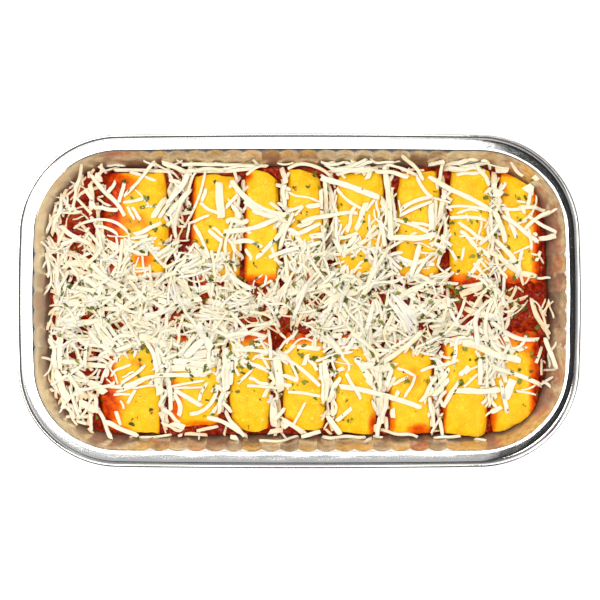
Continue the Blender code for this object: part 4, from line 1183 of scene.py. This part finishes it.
# Kinds of strip that come off the grater: lengths as least, usual and most.
GRATED = (
    Mix(0.42, (6.0, 12.0, 26.0), (0.9, 1.5), (0.6, 0.8), 0.50),
    Mix(0.44, (8.0, 16.0, 34.0), (1.5, 2.3), (0.6, 0.9), 0.32),
    Mix(0.12, (10.0, 20.0, 40.0), (2.3, 3.3), (0.7, 1.0), 0.20),
    Mix(0.02, (9.0, 15.0, 28.0), (3.6, 4.8), (0.7, 1.0), 0.12),
)
CRUMBS = (Mix(1.0, (2.0, 4.0, 8.0), (0.9, 2.2), (0.8, 1.2), 0.2),)


def strew(shreds, rng, kind, count, mixes, clear, bundled=0.0):
    """Lay strips at random places, some in bundles, leaving out those that would cover bare patches."""
    bed = shreds.bed
    shares = [mix.share for mix in mixes]
    laid = 0
    while laid < count:
        mix = mixes[rng.choice(len(mixes), p=shares)]
        x, y = rng.uniform(-153.0, 155.0), rng.uniform(-84.0, 85.0)
        angle = rng.uniform(0, pi)
        length = rng.triangular(*mix.lengths)
        width = rng.uniform(*mix.widths)
        bend = rng.normal(0.0, mix.bend)
        s = np.linspace(-0.5, 0.5, 9) * length
        px, py = x + s * np.cos(angle), y + s * np.sin(angle)
        if (bed.inset[bed.cells(px, py)] < WALL_INSET + 2.6 + width / 2).any():
            continue
        kept = share_kept(px, py)
        if rng.uniform() > kept.mean() ** clear or rng.uniform() > kept.min() ** 0.35 + 0.02:
            continue
        members = rng.integers(3, 7) if rng.uniform() < bundled and kept.min() > 0.9 else 1
        tone = rng.uniform()
        for member in range(members):
            off = (member - (members - 1) / 2) * width * rng.uniform(0.7, 1.1)
            along = rng.normal(0.0, 0.12) * length if members > 1 else 0.0
            way = angle + (rng.normal(0.0, 0.10) if members > 1 else 0.0)
            mid_x = x - off * np.sin(angle) + along * np.cos(angle)
            mid_y = y + off * np.cos(angle) + along * np.sin(angle)
            if bed.inset[bed.cells(mid_x, mid_y)] < WALL_INSET + 4.0:
                continue
            own_tone = np.clip(tone + rng.normal(0.0, 0.12), 0.0, 1.0)
            shreds.lay(kind, mid_x, mid_y, way, length, width, rng.uniform(*mix.thicks), bend, own_tone)
            laid += 1


def lay_strips(shreds, rng):
    for strip in STRIPS:
        run_x, run_y = strip.x1 - strip.x0, strip.y1 - strip.y0
        chord = hypot(run_x, run_y)
        x = (strip.x0 + strip.x1) / 2 - run_y / chord * strip.bow
        y = (strip.y0 + strip.y1) / 2 + run_x / chord * strip.bow
        length = chord * (1.0 + 8.0 / 3.0 * (strip.bow / chord) ** 2)
        thick = min(1.4, 0.7 + 0.2 * strip.width)
        bend = -80.0 * strip.bow / chord ** 2
        shreds.lay("cheese_strips", x, y, atan2(run_y, run_x), length, strip.width, thick, bend,
                   rng.uniform(0.3, 1.0))


def fill_seams(shreds, shapes, rng):
    """Short strips that have slipped down between neighbouring tubes."""
    for shape, beside in zip(shapes, shapes[1:]):
        if shape.side != beside.side:
            continue
        for _ in range(18):
            x = (shape.x + beside.x) / 2 + rng.normal(0.0, 1.8)
            y = shape.side * rng.triangular(30.0, 44.0, 80.0)
            shreds.lay("cheese_in_seams", x, y, pi / 2 + rng.normal(0.0, 0.55), rng.triangular(5.0, 9.0, 20.0),
                       rng.uniform(1.2, 2.6), rng.uniform(0.6, 0.9), rng.normal(0.0, 0.4), rng.uniform())


def make_cheese(shapes):
    bed = Bed(shapes)
    shreds = Shreds(bed, seed=40)
    rng = np.random.default_rng(41)
    herbs = Flakes(bed, seed=51)
    strew(shreds, rng, "cheese_shreds_under", 620, GRATED, 2.2, 0.05)
    strew(shreds, rng, "cheese_crumbs_under", 200, CRUMBS, 1.2)
    herbs.strew(300)
    fill_seams(shreds, shapes, rng)
    strew(shreds, rng, "cheese_shreds_middle", 540, GRATED, 2.2, 0.06)
    strew(shreds, rng, "cheese_crumbs", 160, CRUMBS, 1.2)
    lay_strips(shreds, rng)
    herbs.strew(220)
    strew(shreds, rng, "cheese_shreds_top", 260, GRATED, 2.6, 0.05)
    herbs.strew(330)
    shreds.make(cheese_material())
    herbs.make()


# ---------------------------------------------------------------- parsley

class Flakes:
    """Torn scraps of dried parsley, each lying on what is there when it falls."""

    def __init__(self, bed, seed):
        self.bed = bed
        self.rng = np.random.default_rng(seed)
        self.scraps = []

    def strew(self, count):
        rng = self.rng
        for _ in range(count):
            x, y = rng.uniform(-145.0, 148.0), rng.triangular(-80.0, 0.0, 80.0)
            for _ in range(rng.choice((1, 2, 3), p=(0.7, 0.2, 0.1))):
                self.drop(x + rng.normal(0.0, 0.8), y + rng.normal(0.0, 0.8), rng.triangular(0.35, 0.8, 2.7))

    def drop(self, x, y, size):
        """One scrap: a ragged outline round a raised middle, with its underside."""
        rng = self.rng
        turn = np.linspace(0, 2 * pi, FLAKE_RIM, endpoint=False) + rng.uniform(0, 2 * pi)
        reach = size * rng.uniform(0.45, 1.2, FLAKE_RIM)
        way = rng.uniform(0, pi)
        a, b = reach * np.cos(turn), reach * np.sin(turn) * rng.uniform(0.25, 0.80)
        edge_x, edge_y = x + a * np.cos(way) - b * np.sin(way), y + a * np.sin(way) + b * np.cos(way)
        base = self.bed.at(np.append(edge_x, x), np.append(edge_y, y))
        rest = base.mean() + 0.3
        z = np.maximum(base, rest - 0.6) + np.append(rng.uniform(0.0, 0.5, FLAKE_RIM), 0.1)
        top = np.column_stack([np.append(edge_x, x), np.append(edge_y, y), z + 0.18])
        self.scraps.append((np.vstack([top, top - (0.0, 0.0, 0.14)]), rng.uniform()))

    def make(self):
        ring = np.arange(FLAKE_RIM)
        after = np.roll(ring, -1)
        below = FLAKE_RIM + 1
        hub = np.full(FLAKE_RIM, FLAKE_RIM)
        faces = np.vstack([
            np.stack([ring, after, hub], axis=-1),
            np.stack([after, ring, hub], axis=-1) + below,
            np.stack([after, ring, ring + below], axis=-1),
            np.stack([after, ring + below, after + below], axis=-1),
        ])
        size = 2 * below
        points = np.vstack([scrap for scrap, _ in self.scraps])
        polygons = np.vstack([faces + number * size for number in range(len(self.scraps))])
        tones = np.repeat([tone for _, tone in self.scraps], size)
        new_piece("parsley_flakes", points, [polygons], [herb_material()], [],
                  values={"tone": tones}, sharp=60.0)


# ---------------------------------------------------------------- floor, lights, camera

def make_floor():
    mesh = bpy.data.meshes.new("floor")
    half = 3.0
    mesh.from_pydata([(-half, -half, 0), (half, -half, 0), (half, half, 0), (-half, half, 0)], [], [(0, 1, 2, 3)])
    mesh.materials.append(floor_material())
    floor = bpy.data.objects.new("floor", mesh)
    bpy.context.scene.collection.objects.link(floor)


def add_area(name, place, aim, size, power, colour=(1.0, 1.0, 1.0)):
    light = bpy.data.lights.new(name, "AREA")
    light.shape = "RECTANGLE"
    light.size, light.size_y = size
    light.energy = power
    light.color = colour
    item = bpy.data.objects.new(name, light)
    item.location = place
    item.rotation_euler = (Vector(aim) - Vector(place)).to_track_quat("-Z", "Y").to_euler()
    bpy.context.scene.collection.objects.link(item)


def make_world():
    world = bpy.data.worlds.new("pale_studio")
    bpy.context.scene.world = world
    world.use_nodes = True
    tree = world.node_tree
    place = tree.nodes.new("ShaderNodeTexCoord")
    parts = tree.nodes.new("ShaderNodeSeparateXYZ")
    ramp = tree.nodes.new("ShaderNodeValToRGB")
    tree.links.new(place.outputs["Generated"], parts.inputs["Vector"])
    tree.links.new(parts.outputs["Z"], ramp.inputs["Fac"])
    tree.links.new(ramp.outputs["Color"], tree.nodes["Background"].inputs["Color"])
    ramp.color_ramp.elements[0].position = 0.45
    ramp.color_ramp.elements[0].color = (0.17, 0.16, 0.15, 1.0)
    ramp.color_ramp.elements[1].position = 0.80
    ramp.color_ramp.elements[1].color = (0.022, 0.022, 0.023, 1.0)
    tree.nodes["Background"].inputs["Strength"].default_value = 1.0


def make_lights():
    warm = (1.0, 0.98, 0.95)
    add_area("overhead_softbox", (-0.65, 0.3725, 1.85), (-0.65, 0.3725, 0.0), (1.82, 1.115), 38.5, warm)
    add_area("overhead_reflector", (-0.63, -0.5675, 1.85), (-0.63, -0.5675, 0.0), (1.86, 0.765), 2.2)
    add_area("back_panel", (-0.2, 2.0, 1.1), (0.0, 0.0, 0.0), (2.8, 1.5), 12.5, warm)
    add_area("left_panel", (-2.1, 0.1, 1.1), (0.0, 0.0, 0.0), (2.6, 1.5), 11.0, warm)
    add_area("fill_softbox", (1.15, -0.85, 1.85), (0.0, 0.0, 0.0), (0.9, 0.9), 28.0, (1.0, 0.95, 0.87))
    make_world()


def make_camera():
    data = bpy.data.cameras.new("camera")
    data.sensor_width = SENSOR
    data.lens = SENSOR * (CAMERA_HEIGHT - RIM) / FRAME_SPAN
    data.clip_end = 20.0
    camera = bpy.data.objects.new("camera", data)
    camera.location = (CAMERA_X * MM, CAMERA_Y * MM, CAMERA_HEIGHT * MM)
    bpy.context.scene.collection.objects.link(camera)
    bpy.context.scene.camera = camera
    bpy.context.scene.view_settings.view_transform = "Standard"


make_camera()
make_floor()
make_lights()
make_tray()

SHAPES = [Shape(roll) for roll in ROLLS]
PASTA = pasta_material()
FILLING = filling_material()
for shape in SHAPES:
    make_roll(shape, PASTA)
    make_filling(shape, FILLING)
make_sauce()
make_cheese(SHAPES)
